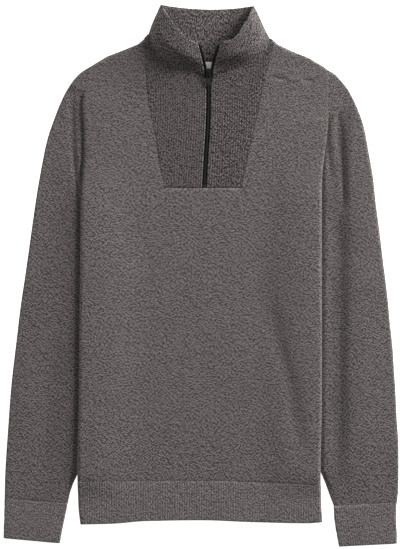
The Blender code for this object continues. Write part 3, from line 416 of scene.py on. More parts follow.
@dataclass
class Sheet:
    """A wall of cloth about a grid of points, whose last column may join its first."""

    middle: np.ndarray
    wall: float
    ring: bool = False
    keep: np.ndarray | None = None
    outer: np.ndarray | float = 0.0
    inner: np.ndarray | float = 0.0
    rim: float = 0.25
    anchor: int = 0
    across: np.ndarray | None = None
    facing_down: Fade = Fade(-0.3, -0.4)
    rim_turns: tuple[int, ...] = (45, 0, -45)

    def normals(self) -> np.ndarray:
        """Unit normals of the grid, on the side that faces out.

        Returns:
            One unit vector for each point of the grid.
        """
        if self.ring:
            across = np.roll(self.middle, -1, axis=1) - np.roll(self.middle, 1, axis=1)
        else:
            across = np.gradient(self.middle, axis=1)
        along = np.gradient(self.middle, axis=0)
        normals = np.cross(across, along)
        length = np.linalg.norm(normals, axis=2, keepdims=True)
        return normals / np.maximum(length, 1e-9)

    def lengths(self) -> tuple[np.ndarray, np.ndarray]:
        """Measures the cloth.

        Returns:
            Lengths across from the anchor column and lengths along it, at each corner.
        """
        closed = self.middle
        if self.ring:
            closed = np.concatenate((closed, closed[:, :1]), axis=1)
        steps = np.linalg.norm(np.diff(closed, axis=1), axis=2)
        across = np.concatenate((np.zeros((len(closed), 1)), np.cumsum(steps, axis=1)), axis=1)
        across -= across[:, self.anchor:self.anchor + 1]
        climbs = np.linalg.norm(np.diff(closed[:, self.anchor], axis=0), axis=1)
        along = np.concatenate(([0.0], np.cumsum(climbs)))
        return across, np.broadcast_to(along[:, None], across.shape)

    def build(self, name: str, finish: bpy.types.Material) -> bpy.types.Object:
        """Makes the piece.

        Args:
            name: The piece's name.
            finish: Its material.

        Returns:
            A closed mesh with rounded rims, and with the cloth's lengths as its UV map.
        """
        rows, columns = self.middle.shape[:2]
        cells = columns if self.ring else columns - 1
        keep = np.ones((rows - 1, cells), bool) if self.keep is None else self.keep
        count = rows * columns
        half = self.wall / 2
        normals = self.normals()
        underneath = self.facing_down(normals[..., 2]) * np.max(self.outer)
        outer = half + np.broadcast_to(self.outer, (rows, columns)) - underneath
        inner = half + np.broadcast_to(self.inner, (rows, columns))
        faces_out = (self.middle + normals * outer[..., None]).reshape(-1, 3)
        faces_in = (self.middle - normals * inner[..., None]).reshape(-1, 3)
        index = np.arange(count).reshape(rows, columns)
        right = np.roll(index, -1, axis=1)
        corners = (index[:-1, :cells], right[:-1, :cells], right[1:, :cells], index[1:, :cells])
        corners = np.stack([corner[keep] for corner in corners], axis=1)
        u, v = self.lengths()
        if self.across is not None:
            u = np.broadcast_to(self.across, u.shape)
        uv = np.stack((u, v), axis=2)
        places = (uv[:-1, :-1], uv[:-1, 1:], uv[1:, 1:], uv[1:, :-1])
        places = np.stack([place[keep] for place in places], axis=1)

        starts = corners.reshape(-1)
        ends = np.roll(corners, -1, axis=1).reshape(-1)
        open_edge = ~np.isin(starts * count + ends, ends * count + starts)
        start_uv = places.reshape(-1, 2)[open_edge]
        end_uv = np.roll(places, -1, axis=1).reshape(-1, 2)[open_edge]
        starts, ends = starts[open_edge], ends[open_edge]
        flat = self.middle.reshape(-1, 3)
        flat_normals = normals.reshape(-1, 3)
        outward = np.cross(flat[ends] - flat[starts], flat_normals[starts])
        outward /= np.maximum(np.linalg.norm(outward, axis=1, keepdims=True), 1e-9)
        bulge = np.zeros((count, 3))
        np.add.at(bulge, starts, outward)
        np.add.at(bulge, ends, outward)
        bulge /= np.maximum(np.linalg.norm(bulge, axis=1, keepdims=True), 1e-9)
        levels = [np.arange(count)]
        vertices = [faces_out, faces_in]
        for step, turn in enumerate(self.rim_turns):
            rise = math.sin(math.radians(turn))
            reach = (outer if rise > 0 else inner).reshape(-1, 1) * rise
            out = self.rim * math.cos(math.radians(turn))
            vertices.append(flat + bulge * out + flat_normals * reach)
            levels.append(np.arange(count) + (step + 2) * count)
        levels.append(np.arange(count) + count)
        quads = [corners, corners[:, ::-1] + count]
        maps = [places, places[:, ::-1]]
        for upper, lower in zip(levels, levels[1:]):
            quads.append(np.stack((upper[ends], upper[starts], lower[starts], lower[ends]), 1))
            maps.append(np.stack((end_uv, start_uv, start_uv, end_uv), axis=1))
        quads = np.concatenate(quads)
        used, renumbered = np.unique(quads, return_inverse=True)
        points = np.concatenate(vertices)[used] * MM
        return add_piece(name, points, renumbered.reshape(-1, 4).tolist(), finish,
                         np.concatenate(maps).reshape(-1, 2))


def place_mesh(mesh: bpy.types.Mesh, finish: bpy.types.Material) -> bpy.types.Object:
    """Puts a mesh in the scene.

    Args:
        mesh: The mesh, whose name the piece takes.
        finish: Its material.

    Returns:
        The new object.
    """
    mesh.materials.append(finish)
    piece = bpy.data.objects.new(mesh.name, mesh)
    bpy.context.collection.objects.link(piece)
    return piece


def add_piece(name: str, points: np.ndarray, faces: list, finish: bpy.types.Material,
              uv: np.ndarray | None = None) -> bpy.types.Object:
    """Adds a mesh to the scene.

    Args:
        name: The piece's name.
        points: Its vertices in metres.
        faces: Its faces as lists of vertices.
        finish: Its material.
        uv: A UV pair for each corner of each face.

    Returns:
        The new object, shaded smooth.
    """
    mesh = bpy.data.meshes.new(name)
    mesh.from_pydata(points.tolist(), [], faces)
    if uv is not None:
        layer = mesh.uv_layers.new(name="cloth")
        layer.data.foreach_set("uv", uv.astype(np.float32).reshape(-1))
    mesh.update()
    mesh.shade_smooth()
    return place_mesh(mesh, finish)


def settle(piece: bpy.types.Object, slot: str, *nodes: str, body: str = "sweater") -> None:
    """Gives a piece its body, and hides the imported nodes that it stands for.

    Args:
        piece: The piece.
        slot: The record's slot for the piece; not used.
        nodes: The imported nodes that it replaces.
        body: The body that it moves with.
    """
    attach(piece, body)
    if nodes:
        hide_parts(*nodes)
    log.info("%s: %d faces", piece.name, len(piece.data.polygons))


def ribs(across: np.ndarray, pitch: float, height: float,
         narrowness: float = 0.6) -> np.ndarray:
    """Height of rounded ribs at lengths across the cloth, between narrow troughs."""
    wave = 0.5 + 0.5 * np.cos(2 * np.pi * across / pitch)
    return height * wave ** narrowness


def unevenness(x: np.ndarray, y: np.ndarray, size: float, seed: int) -> np.ndarray:
    """A soft uneven surface.

    Args:
        x: Where it is read, across.
        y: Where it is read, along.
        size: Rough distance between its rises.
        seed: Chooses one surface among many.

    Returns:
        Values between about -1 and 1.
    """
    chance = np.random.default_rng(seed)
    total = np.zeros(np.shape(x))
    waves = 9
    for _ in range(waves):
        turn = chance.uniform(0, 2 * np.pi)
        length = size * chance.uniform(0.7, 1.9)
        phase = chance.uniform(0, 2 * np.pi)
        total += np.sin((x * np.cos(turn) + y * np.sin(turn)) * 2 * np.pi / length + phase)
    return total / math.sqrt(waves) * 0.8


def spaced(path: np.ndarray, pitch: float, offset: float) -> np.ndarray:
    """Points at even lengths along a path, the first one offset pitches from its start.

    Args:
        path: Points along the path.
        pitch: The length from one to the next.
        offset: The first one's place, in pitches.

    Returns:
        The points, one row each.
    """
    steps = np.linalg.norm(np.diff(path, axis=0), axis=1)
    lengths = np.concatenate(([0.0], np.cumsum(steps)))
    spots = np.arange(offset, lengths[-1] / pitch) * pitch
    return np.stack([np.interp(spots, lengths, path[:, k]) for k in range(3)], axis=1)


def capsules(starts: np.ndarray, ends: np.ndarray, radius: float,
             sides: int = 6) -> tuple[np.ndarray, list]:
    """Makes short rounded rods.

    Args:
        starts: One end of each rod.
        ends: The other end of each.
        radius: Their radius.
        sides: Sides of each rod.

    Returns:
        The rods' points and faces.
    """
    rings = ((0.0, 0.45), (0.1, 0.85), (0.5, 1.0), (0.9, 0.85), (1.0, 0.45))
    turns = np.arange(sides) * 2 * np.pi / sides
    points, faces = [], []
    for start, end in zip(starts, ends):
        run = end - start
        across = np.cross(run, (0.0, 0.0, 1.0))
        across /= max(np.linalg.norm(across), 1e-9)
        up = np.cross(across, run)
        up /= np.linalg.norm(up)
        first = len(points) * sides
        for share, size in rings:
            circle = np.outer(np.cos(turns), across) + np.outer(np.sin(turns), up)
            points.append(start + run * share + circle * radius * size)
        for k in range(len(rings) - 1):
            low = first + k * sides
            for j in range(sides):
                n = (j + 1) % sides
                faces.append([low + j, low + sides + j, low + sides + n, low + n])
        faces.append([first + j for j in range(sides)])
        last = first + (len(rings) - 1) * sides
        faces.append([last + j for j in reversed(range(sides))])
    return np.vstack(points), faces


# ---------------------------------------------------------------- finishes

class Graph:
    """A material's nodes, added and linked in short calls."""

    def __init__(self, name: str) -> None:
        """Starts a material whose graph holds a Principled BSDF.

        Args:
            name: The material's name.
        """
        self.material = bpy.data.materials.new(name)
        self.material.use_nodes = True
        self.tree = self.material.node_tree
        self.shader = self.tree.nodes["Principled BSDF"]

    def add(self, kind: str, settings: dict | None = None, **inputs) -> bpy.types.Node:
        """Adds a node.

        Args:
            kind: The node's type.
            settings: Its properties.
            inputs: Its sockets, by name with _ for a space or by index as i0, i1. A socket is
                linked, and anything else is a plain value.

        Returns:
            The node.
        """
        node = self.tree.nodes.new(kind)
        for key, value in (settings or {}).items():
            setattr(node, key, value)
        for key, value in inputs.items():
            place = int(key[1:]) if key[0] == "i" and key[1:].isdigit() else key.replace("_", " ")
            if isinstance(value, bpy.types.NodeSocket):
                self.tree.links.new(value, node.inputs[place])
            else:
                node.inputs[place].default_value = value
        return node

    def math(self, operation: str, *values: bpy.types.NodeSocket | float) -> bpy.types.NodeSocket:
        """Adds a Math node and returns its output."""
        inputs = {f"i{k}": value for k, value in enumerate(values)}
        return self.add("ShaderNodeMath", {"operation": operation}, **inputs).outputs[0]

    def zigzag(self, value: bpy.types.NodeSocket, period: float) -> bpy.types.NodeSocket:
        """Goes from 0 up to 1 and back over each period of a value."""
        return self.math("DIVIDE", self.math("PINGPONG", value, period / 2), period / 2)

    def cloth(self, across: float, along: float) -> bpy.types.NodeSocket:
        """The cloth's own lengths, scaled so that one unit is across by along millimetres.

        Args:
            across: Millimetres across in one unit.
            along: Millimetres along in one unit.

        Returns:
            The scaled lengths.
        """
        uv = self.add("ShaderNodeUVMap", {"uv_map": "cloth"})
        size = (1 / across, 1 / along, 1.0)
        return self.add("ShaderNodeMapping", Vector=uv.outputs["UV"], Scale=size).outputs[0]

    def noise(self, vector: bpy.types.NodeSocket, scale: float = 1.0,
              detail: float = 2.0) -> bpy.types.NodeSocket:
        """Adds a noise texture and returns its value."""
        node = self.add("ShaderNodeTexNoise", Vector=vector, Scale=scale, Detail=detail)
        return node.outputs[0]

    def ramp(self, factor: bpy.types.NodeSocket,
             stops: Sequence[tuple[float, tuple]]) -> bpy.types.NodeSocket:
        """Adds a colour ramp and returns its colour.

        Args:
            factor: What runs along the ramp.
            stops: Places on the ramp, each with its colour.

        Returns:
            The ramp's colour.
        """
        node = self.add("ShaderNodeValToRGB", Fac=factor)
        elements = node.color_ramp.elements
        while len(elements) < len(stops):
            elements.new(0.5)
        for element, (place, colour) in zip(elements, stops):
            element.position = place
            element.color = (*colour, 1.0)
        return node.outputs["Color"]

    def bump(self, height: bpy.types.NodeSocket, distance: float, strength: float = 1.0) -> None:
        """Roughens the shader's surface by a height."""
        node = self.add("ShaderNodeBump", Height=height, Distance=distance, Strength=strength)
        self.tree.links.new(node.outputs["Normal"], self.shader.inputs["Normal"])

    def colour(self, tone: bpy.types.NodeSocket, stops: Sequence[tuple[float, tuple]]) -> None:
        """Gives the shader its colour, by a ramp of a tone."""
        self.tree.links.new(self.ramp(tone, stops), self.shader.inputs["Base Color"])

    def surface(self, **values: float | tuple[float, ...]) -> None:
        """Sets the shader's own sockets, by name with _ for a space."""
        for name, value in values.items():
            self.shader.inputs[name.replace("_", " ")].default_value = value


def tint(shade: tuple[float, ...], factor: float) -> tuple[float, ...]:
    """A shade made darker or lighter by a factor."""
    return tuple(value * factor for value in shade)


@dataclass(frozen=True)
class YarnFinish:
    """A melange yarn in fine stitches, with painted shade between its loops and, where it has a rib
    pitch, in the troughs between ribs.
    """

    name: str
    shade: tuple[float, float, float] = (0.092, 0.081, 0.080)
    contrast: float = 0.76
    softness: float = 0.27
    wale: float = 2.0
    course: float = 1.5
    streak: float = 14.0
    rib_pitch: float = 0.0
    # trough: painted shade, how far the tone falls in the troughs between the ribs.
    trough: float = 0.24
    darkening: float = 0.41

    def make(self) -> bpy.types.Material:
        """Makes the material: mottled yarn, stitches in relief, painted shade between the loops and
        in the rib troughs, and soft fuzz.

        Returns:
            The finished material.
        """
        graph = Graph(self.name)
        lengths = graph.add("ShaderNodeSeparateXYZ", i0=graph.cloth(1.0, 1.0)).outputs
        leg = graph.zigzag(lengths[0], self.wale)
        slant = graph.math("ADD", graph.math("DIVIDE", lengths[1], self.course),
                           graph.math("MULTIPLY", leg, 0.7))
        loop = graph.math("PINGPONG", slant, 0.5)
        round_leg = graph.math("SINE", graph.math("MULTIPLY", leg, math.pi))
        stitch = graph.math("MULTIPLY", graph.math("ADD", loop, 0.25), round_leg)
        fine = graph.noise(graph.cloth(1.5, 1.1), detail=3.0)
        streaks = graph.noise(graph.cloth(self.streak, 1.6), detail=1.0)
        patches = graph.noise(graph.cloth(30.0, 16.0), detail=2.0)
        wale = graph.math("ROUND", graph.math("DIVIDE", lengths[0], self.wale))
        course = graph.math("FLOOR", slant)
        chance = 0.4
        for turn, share in ((0, 1.0), (1, -0.55), (2, -0.25)):
            cell = graph.add("ShaderNodeCombineXYZ", i0=graph.math("ADD", wale, turn // 2),
                             i1=graph.math("ADD", course, turn % 2))
            value = graph.add("ShaderNodeTexWhiteNoise", Vector=cell.outputs[0]).outputs[0]
            chance = graph.math("MULTIPLY_ADD", value, share, chance)
        tone = graph.math("MULTIPLY_ADD", fine, 0.7, graph.math("MULTIPLY", streaks, 0.18))
        # Painted shade: the stitch's height also lightens the tops of the loops and darkens the
        # tone between them.
        for part, share in ((chance, 0.75), (patches, 0.08), (stitch, 0.18)):
            tone = graph.math("MULTIPLY_ADD", part, share, tone)
        tone = graph.math("SUBTRACT", tone, self.darkening)
        # Painted shade: the tone falls towards the troughs between the ribs, where the ribs shade
        # them.
        if self.rib_pitch:
            painted_trough_shade = graph.math("POWER", graph.zigzag(lengths[0], self.rib_pitch), 3.0)
            tone = graph.math("SUBTRACT", tone, graph.math("MULTIPLY", painted_trough_shade, self.trough))
        graph.colour(tone, ((0.5 - self.softness, tint(self.shade, 1 - self.contrast)),
                            (0.5, self.shade),
                            (0.5 + self.softness, tint(self.shade, 1 + 1.2 * self.contrast))))
        graph.bump(graph.math("MULTIPLY_ADD", fine, 0.5, stitch), 0.4 * MM, 0.8)
        graph.surface(Roughness=0.93, Specular_IOR_Level=0.15, Sheen_Weight=0.12,
                      Sheen_Roughness=0.5)
        return graph.material


@dataclass(frozen=True)
class TapeFinish:
    """Woven black zip tape."""

    name: str
    shade: tuple[float, float, float] = (0.006, 0.006, 0.0065)
    pick: float = 0.6
    herringbone: float = 1.1

    def make(self) -> bpy.types.Material:
        """Makes the material: a herringbone of fine threads.

        Returns:
            The finished material.
        """
        graph = Graph(self.name)
        lengths = graph.add("ShaderNodeSeparateXYZ", i0=graph.cloth(1.0, 1.0)).outputs
        fold = graph.math("PINGPONG", lengths[0], self.herringbone)
        thread = graph.zigzag(graph.math("ADD", lengths[1], fold), self.pick)
        fibres = graph.noise(graph.cloth(0.5, 0.5), detail=3.0)
        tone = graph.math("MULTIPLY_ADD", fibres, 0.6, graph.math("MULTIPLY", thread, 0.5))
        graph.colour(tone, ((0.15, tint(self.shade, 0.45)), (0.5, self.shade),
                            (0.9, tint(self.shade, 2.2))))
        graph.bump(tone, 0.15 * MM, 0.8)
        graph.surface(Roughness=0.9, Specular_IOR_Level=0.15)
        return graph.material


@dataclass(frozen=True)
class MetalFinish:
    """Dark plated metal with fine wear."""

    name: str
    shade: tuple[float, float, float] = (0.03, 0.03, 0.032)
    roughness: float = 0.42
    metallic: float = 0.75

    def make(self) -> bpy.types.Material:
        """Makes the material: brushed plating, a little paler in places.

        Returns:
            The finished material.
        """
        graph = Graph(self.name)
        place = graph.add("ShaderNodeTexCoord").outputs["Object"]
        fine = graph.noise(place, scale=1400.0, detail=3.0)
        broad = graph.noise(place, scale=240.0, detail=2.0)
        tone = graph.math("MULTIPLY_ADD", fine, 0.35, graph.math("MULTIPLY", broad, 0.7))
        graph.colour(tone, ((0.25, tint(self.shade, 0.7)), (0.5, self.shade),
                            (0.8, tint(self.shade, 1.5))))
        rough = graph.math("MULTIPLY_ADD", broad, 0.3, self.roughness - 0.15)
        graph.tree.links.new(rough, graph.shader.inputs["Roughness"])
        graph.bump(fine, 0.03 * MM, 0.5)
        graph.surface(Metallic=self.metallic, Specular_IOR_Level=0.3)
        return graph.material


@dataclass(frozen=True)
class LabelFinish:
    """White satin ribbon."""

    name: str
    shade: tuple[float, float, float] = (0.90, 0.90, 0.89)
    brightest: float = 0.96

    def make(self) -> bpy.types.Material:
        """Makes the material: fine satin threads across the ribbon.

        Returns:
            The finished material.
        """
        graph = Graph(self.name)
        threads = graph.noise(graph.cloth(3.0, 0.25), detail=2.0)
        soil = graph.noise(graph.cloth(9.0, 9.0), detail=2.0)
        tone = graph.math("MULTIPLY_ADD", threads, 0.6, graph.math("MULTIPLY", soil, 0.4))
        light = tuple(min(value, self.brightest) for value in tint(self.shade, 1.08))
        graph.colour(tone, ((0.25, tint(self.shade, 0.86)), (0.5, self.shade), (0.75, light)))
        graph.bump(threads, 0.05 * MM, 0.6)
        graph.surface(Roughness=0.55, Sheen_Weight=0.2)
        return graph.material


@dataclass(frozen=True)
class FloorFinish:
    """A plain pale studio floor."""

    name: str = "studio_floor"
    glow: float = 0.85

    def make(self) -> bpy.types.Material:
        """Makes the material: a matt pale paint, with the faintest grain.

        Returns:
            The finished material.
        """
        graph = Graph(self.name)
        grain = graph.noise(graph.add("ShaderNodeTexCoord").outputs["Object"], scale=3.0)
        graph.colour(grain, ((0.3, (0.93, 0.93, 0.93)), (0.7, (0.95, 0.95, 0.95))))
        graph.surface(Roughness=1.0, Specular_IOR_Level=0.0, Emission_Color=(1.0, 1.0, 1.0, 1.0),
                      Emission_Strength=self.glow)
        return graph.material


# ---------------------------------------------------------------- front, back and hem

@dataclass
class Body:
    """The front and back panels and the hem bands, with their sides tucked under."""

    lay: Lay
    roll_step: int = 15
    tuck_parts: int = 20
    ramps: tuple[float, ...] = (32.0, 52.0, 74.0)
    crease_half: float = 10.0
    front_parts: tuple[int, ...] = (4, 5, 7, 7, 14, 9, 9, 9, 9, 10, 5, 5, 6, 6, 4)
    inset_keys: tuple[int, int] = (5, 9)
    neck_corner: float = 355.0
    tip_height: float = 305.0
    tip_drop: float = 1.2
    tip_reach: float = 10.0
    lower_rows: int = 96
    upper_rows: int = 80
    roll_turns: tuple[int, ...] = (75, 60, 45, 30, 15, 0)
    rib_pitch: float = 3.6
    rib_height: float = 0.42
    below_top: float = 6.0
    low_shelf: float = 10.0
    shelf_fade: Fade = Fade(-240.0, 140.0)
    past_margin: float = 1.2
    met_width: float = 0.55
    roll_inset: float = 0.2
    back_lower: float = 0.05
    first_rows: tuple[float, ...] = (0.0, 0.0015, 0.005)
    back_drops: tuple[float, ...] = (4.0, 2.0, 0.0)
    band_rows: tuple[float, ...] = (0, 0.015, 0.04, 0.08, 0.16, 0.28, 0.4, 0.52, 0.64, 0.76,
                                    0.88, 0.96, 1)
    band_fade: Fade = Fade(0.0, 0.03)
    slot_shares: tuple[float, ...] = (0.25, 0.5, 0.75)
    first_x: float = 100.0
    rounds: int = 4
    band_finer: int = 4
    band_tucks: int = 3
    seam_depth: float = 0.45
    seam_reach: float = 1.6
    soft_depth: float = 0.45
    soft_size: float = 95.0
    soft_fade: Fade = Fade(320.0, -60.0)

    def shelf(self, y: np.ndarray, side: Side, layer: Layer) -> np.ndarray:
        """Distance of the shelf from the body's edge.

        Args:
            y: Heights along the edge.
            side: The edge's side.
            layer: The front or the back.

        Returns:
            The distance at each height.
        """
        usual = np.full(np.shape(y), self.lay.shelf)
        if side == Side.RIGHT:
            usual = self.low_shelf + (self.lay.shelf - self.low_shelf) * self.shelf_fade(y)
        if layer == Layer.BACK:
            under = self.lay.sleeve_under[side](y) + self.past_margin
            return np.where(y >= self.lay.underarm, under, usual)
        return usual

    def roll_radius(self, y: np.ndarray, side: Side) -> np.ndarray:
        """Radius of the front's rolled edge."""
        return (self.lay.edge_level(y, side) - self.lay.strip_level(y, side)) / 2

    def face_keys(self, y: np.ndarray, layer: Layer) -> list[np.ndarray]:
        """X of the main columns of a panel's face, from its left edge to its right edge.

        Args:
            y: The heights of a column's points.
            layer: The front or the back.

        Returns:
            The X of each main column at those heights.
        """
        lay = self.lay
        left, right = lay.edge[Side.LEFT](y), lay.edge[Side.RIGHT](y)
        low = lay.inset_edge[Side.LEFT](y) - lay.seam_gap / 2
        high = lay.inset_edge[Side.RIGHT](y) + lay.seam_gap / 2
        crease = lay.crease_line(y)
        shelf_left = left + self.shelf(y, Side.LEFT, layer)
        shelf_right = right - self.shelf(y, Side.RIGHT, layer)
        keys = [left + lay.knit / 2 + self.roll_width(y, Side.LEFT), shelf_left]
        keys += [np.maximum(left + ramp, shelf_left + 1) for ramp in self.ramps]
        keys += [low] + [low + share * (high - low) for share in self.slot_shares] + [high]
        keys += [crease - self.crease_half, crease, crease + self.crease_half]
        keys += [0.5 * (shelf_right + crease + self.crease_half), shelf_right]
        return keys + [right - lay.knit / 2 - self.roll_width(y, Side.RIGHT)]

    def roll_width(self, y: np.ndarray, side: Side) -> np.ndarray:
        """How far across the front's rolled edge reaches, narrow where the sleeve joins it."""
        radius = self.roll_radius(y, side)
        return radius + (self.met_width - radius) * self.lay.meets(y, side)

    def place(self, station: Station, y: np.ndarray,
              layer: Layer) -> tuple[np.ndarray, np.ndarray]:
        """Finds a column of a panel.

        Args:
            station: The column.
            y: Heights to find it at.
            layer: The front or the back.

        Returns:
            Its X and its level at each height.
        """
        lay, side = self.lay, station.side
        if station.run == Run.FACE:
            keys = self.face_keys(y, layer)
            k = min(int(station.value), len(keys) - 2)
            share = station.value - k
            x = keys[k] * (1 - share) + keys[k + 1] * share
            level = lay.front_level if layer == Layer.FRONT else lay.back_level
            return x, level(x, y)
        edge = lay.edge[side](y)
        radius = self.roll_radius(y, side)
        width = self.roll_width(y, side)
        if station.run == Run.TUCK:
            start = lay.knit / 2 + width
            x = edge - side * (start + station.value * (lay.tuck_reach(y) - start))
            step = lay.layer_step if layer == Layer.BACK else 0.0
            return x, lay.flap_level(x, y, side) + step
        turn = math.radians(station.value)
        middle = lay.strip_level(y, side) + radius
        if layer == Layer.BACK:
            centre = lay.knit / 2 + radius
            x = edge - side * (centre - lay.back_roll * math.cos(turn))
            return x, middle - self.back_lower + lay.back_roll * math.sin(turn)
        x = edge - side * (lay.knit / 2 + width * (1 - math.cos(turn)))
        return x, middle + radius * math.sin(turn)

    def stations(self, face_parts: Sequence[int], tuck_parts: int) -> list[Station]:
        """Lists a panel's columns.

        Args:
            face_parts: Steps between the main columns of its face.
            tuck_parts: Steps along each tuck.

        Returns:
            The columns from the end of the left tuck over the face to the right tuck's end.
        """
        tuck = [k / tuck_parts for k in range(1, tuck_parts + 1)]
        turns = list(range(-90, 91, self.roll_step))
        left = [Station(Run.TUCK, Side.LEFT, share) for share in reversed(tuck)]
        left += [Station(Run.ROLL, Side.LEFT, turn) for turn in turns]
        face = []
        for key, parts in enumerate(face_parts):
            face += [Station(Run.FACE, Side.LEFT, key + step / parts) for step in range(parts)]
        right = [Station(Run.ROLL, Side.RIGHT, turn) for turn in reversed(turns)]
        right += [Station(Run.TUCK, Side.RIGHT, share) for share in tuck]
        return left + face[1:] + right

    def first_face(self) -> int:
        """The first column of a panel's face, at the end of the left roll."""
        return self.tuck_parts + 180 // self.roll_step

    def grid(self, stations: Sequence[Station], rows: Callable[[np.ndarray], np.ndarray],
             count: int, layer: Layer, pull: float = 1.0) -> np.ndarray:
        """Places a panel's points.

        Args:
            stations: Its columns.
            rows: Gives each row's height from the X of its point.
            count: The number of rows.
            layer: The front or the back.
            pull: How far each round moves a height to the one its row gives.

        Returns:
            The grid of points on the middle of the wall.
        """
        points = np.zeros((count, len(stations), 3))
        for j, station in enumerate(stations):
            y = rows(np.full(count, station.side * self.first_x))
            for _ in range(int(self.rounds / pull)):
                x, z = self.place(station, y, layer)
                y = y + pull * (rows(x) - y)
            points[:, j] = np.stack((x, y, z), axis=1)
        return points

    def panel_rows(self, top: Callable[[np.ndarray], np.ndarray],
                   drops: Sequence[float]) -> tuple[Callable[[np.ndarray], np.ndarray], int]:
        """Lays out a panel's rows from its hem seam to its shoulders.

        Args:
            top: The line of the shoulders and the neck.
            drops: How far below it the last rows lie.

        Returns:
            A function from X to each row's height, and the number of rows.
        """
        lay = self.lay
        lower = np.append(self.first_rows, np.linspace(0, 1, self.lower_rows - 2)[1:])
        upper = np.linspace(0, 1, self.upper_rows)[1:]
        notch = lay.inset_bottom - lay.seam_gap / 2
        split = len(lower)
        last = split + len(upper)

        def rows(x: np.ndarray) -> np.ndarray:
            """Heights of the rows.

            Args:
                x: X of a column's point in each row.

            Returns:
                The height of each row there.
            """
            start = lay.hem_seam(x) + lay.seam_gap / 2
            line = top(x)
            y = np.empty(len(x))
            y[:split] = start[:split] + lower * (notch - start[:split])
            y[split:last] = notch + upper * (line[split:last] - self.below_top - notch)
            y[last:] = line[last:] - np.array(drops)
            return y

        return rows, last + len(drops)

    def seam_dip(self, y: np.ndarray, x: np.ndarray) -> np.ndarray:
        """How far a panel's face sinks beside the hem seam."""
        return -self.seam_depth * np.exp(-np.abs(y - self.lay.hem_seam(x)) / self.seam_reach)

    def front_top(self, x: np.ndarray) -> np.ndarray:
        """The front's top line, a little lower beside the shoulders' tips.

        Args:
            x: X of the points.

        Returns:
            The height of the line at each.
        """
        line = np.minimum(self.lay.shoulders(x), self.neck_corner)
        beside = [side * (self.lay.edge[side](self.tip_height) - x) for side in Side]
        return line - self.tip_drop * sum(ease(1 - gap / self.tip_reach) for gap in beside)

    def front(self, finish: bpy.types.Material) -> None:
        """Builds the front panel, with a notch for the rib inset.

        Args:
            finish: The piece's material.
        """
        lay = self.lay
        radius = lay.front_face - lay.floor - lay.knit / 2 - lay.shoulder_clear
        drops = [lay.shoulder_slope * (lay.knit / 2 + radius * (1 - math.cos(math.radians(turn))))
                 for turn in self.roll_turns]
        rows, count = self.panel_rows(self.front_top, drops)
        stations = self.stations(self.front_parts, self.tuck_parts)
        points = self.grid(stations, rows, count, Layer.FRONT, 0.5)
        first_face = self.first_face()
        last_face = len(stations) - 1 - first_face
        low, high = (first_face + sum(self.front_parts[:key]) for key in self.inset_keys)
        keep = np.ones((count - 1, len(stations) - 1), bool)
        keep[self.lower_rows - 1:, low:high] = False
        roll_row = count - len(drops) - 1
        keep[roll_row:, :first_face] = False
        keep[roll_row:, last_face:] = False
        for j, side in ((first_face, Side.LEFT), (last_face, Side.RIGHT)):
            y = points[roll_row + 1:, j, 1]
            points[roll_row + 1:, j, 0] = lay.edge[side](y) - side * self.roll_inset
            beside = points[roll_row + 1:, j - side, 2]
            points[roll_row + 1:, j, 2] = np.minimum(points[roll_row + 1:, j, 2], beside)
        x, y = points[..., 0], points[..., 1]
        rises = 0.5 + 0.5 * unevenness(x, y, self.soft_size, seed=4)
        soft = self.soft_depth * rises * self.soft_fade(y)
        on_face = np.zeros(points.shape[:2])
        on_face[:, first_face:last_face + 1] = 1.0
        relief = (soft + self.seam_dip(y, x)) * on_face
        sheet = Sheet(points, lay.knit, keep=keep, outer=relief, anchor=(low + high) // 2)
        piece = sheet.build("front_panel_knit", finish)
        settle(piece, "front_knit", "front_panel")

    def back(self, finish: bpy.types.Material) -> None:
        """Builds the back panel, cut out at the armholes and the neck.

        Args:
            finish: The piece's material.
        """
        lay = self.lay
        rows, count = self.panel_rows(lay.back_neck, self.back_drops)
        stations = self.stations(self.front_parts, self.tuck_parts)
        points = self.grid(stations, rows, count, Layer.BACK)
        edge = self.first_face() + self.front_parts[0]
        right_edge = len(stations) - 1 - edge
        keep = np.ones((count - 1, len(stations) - 1), bool)
        middle = points[:-1, len(stations) // 2, 1]
        above = np.nonzero(middle >= lay.underarm)[0][0]
        keep[above:, :edge] = False
        keep[above:, right_edge:] = False
        sheet = Sheet(points, lay.knit, keep=keep, anchor=len(stations) // 2)
        piece = sheet.build("back_panel_knit", finish)
        settle(piece, "back_knit", "back_panel")

    def hem(self, layer: Layer, finish: bpy.types.Material) -> None:
        """Builds one rib band of the hem.

        Args:
            layer: The front or the back.
            finish: The piece's material.
        """
        lay = self.lay
        shares = np.array(self.band_rows)

        def rows(x: np.ndarray) -> np.ndarray:
            """Heights of the rows, from the X of a column's point in each."""
            low, high = lay.hem(x), lay.hem_seam(x) - lay.seam_gap / 2
            return low + shares * (high - low)

        parts = [self.band_finer * part for part in self.front_parts]
        stations = self.stations(parts, self.band_tucks * self.tuck_parts)
        points = self.grid(stations, rows, len(shares), layer)
        sheet = Sheet(points, lay.knit, anchor=len(stations) // 2)
        across, _ = sheet.lengths()
        band = self.band_fade(shares)[:, None]
        sheet.outer = (ribs(across, self.rib_pitch, self.rib_height) * band
                       + self.seam_dip(points[..., 1], points[..., 0]))
        sheet.rim = 0.5
        word = layer.value
        piece = sheet.build(f"hem_{word}_rib", finish)
        settle(piece, f"hem_{word}_rib", f"hem_{word}")


# ---------------------------------------------------------------- sleeves and cuffs

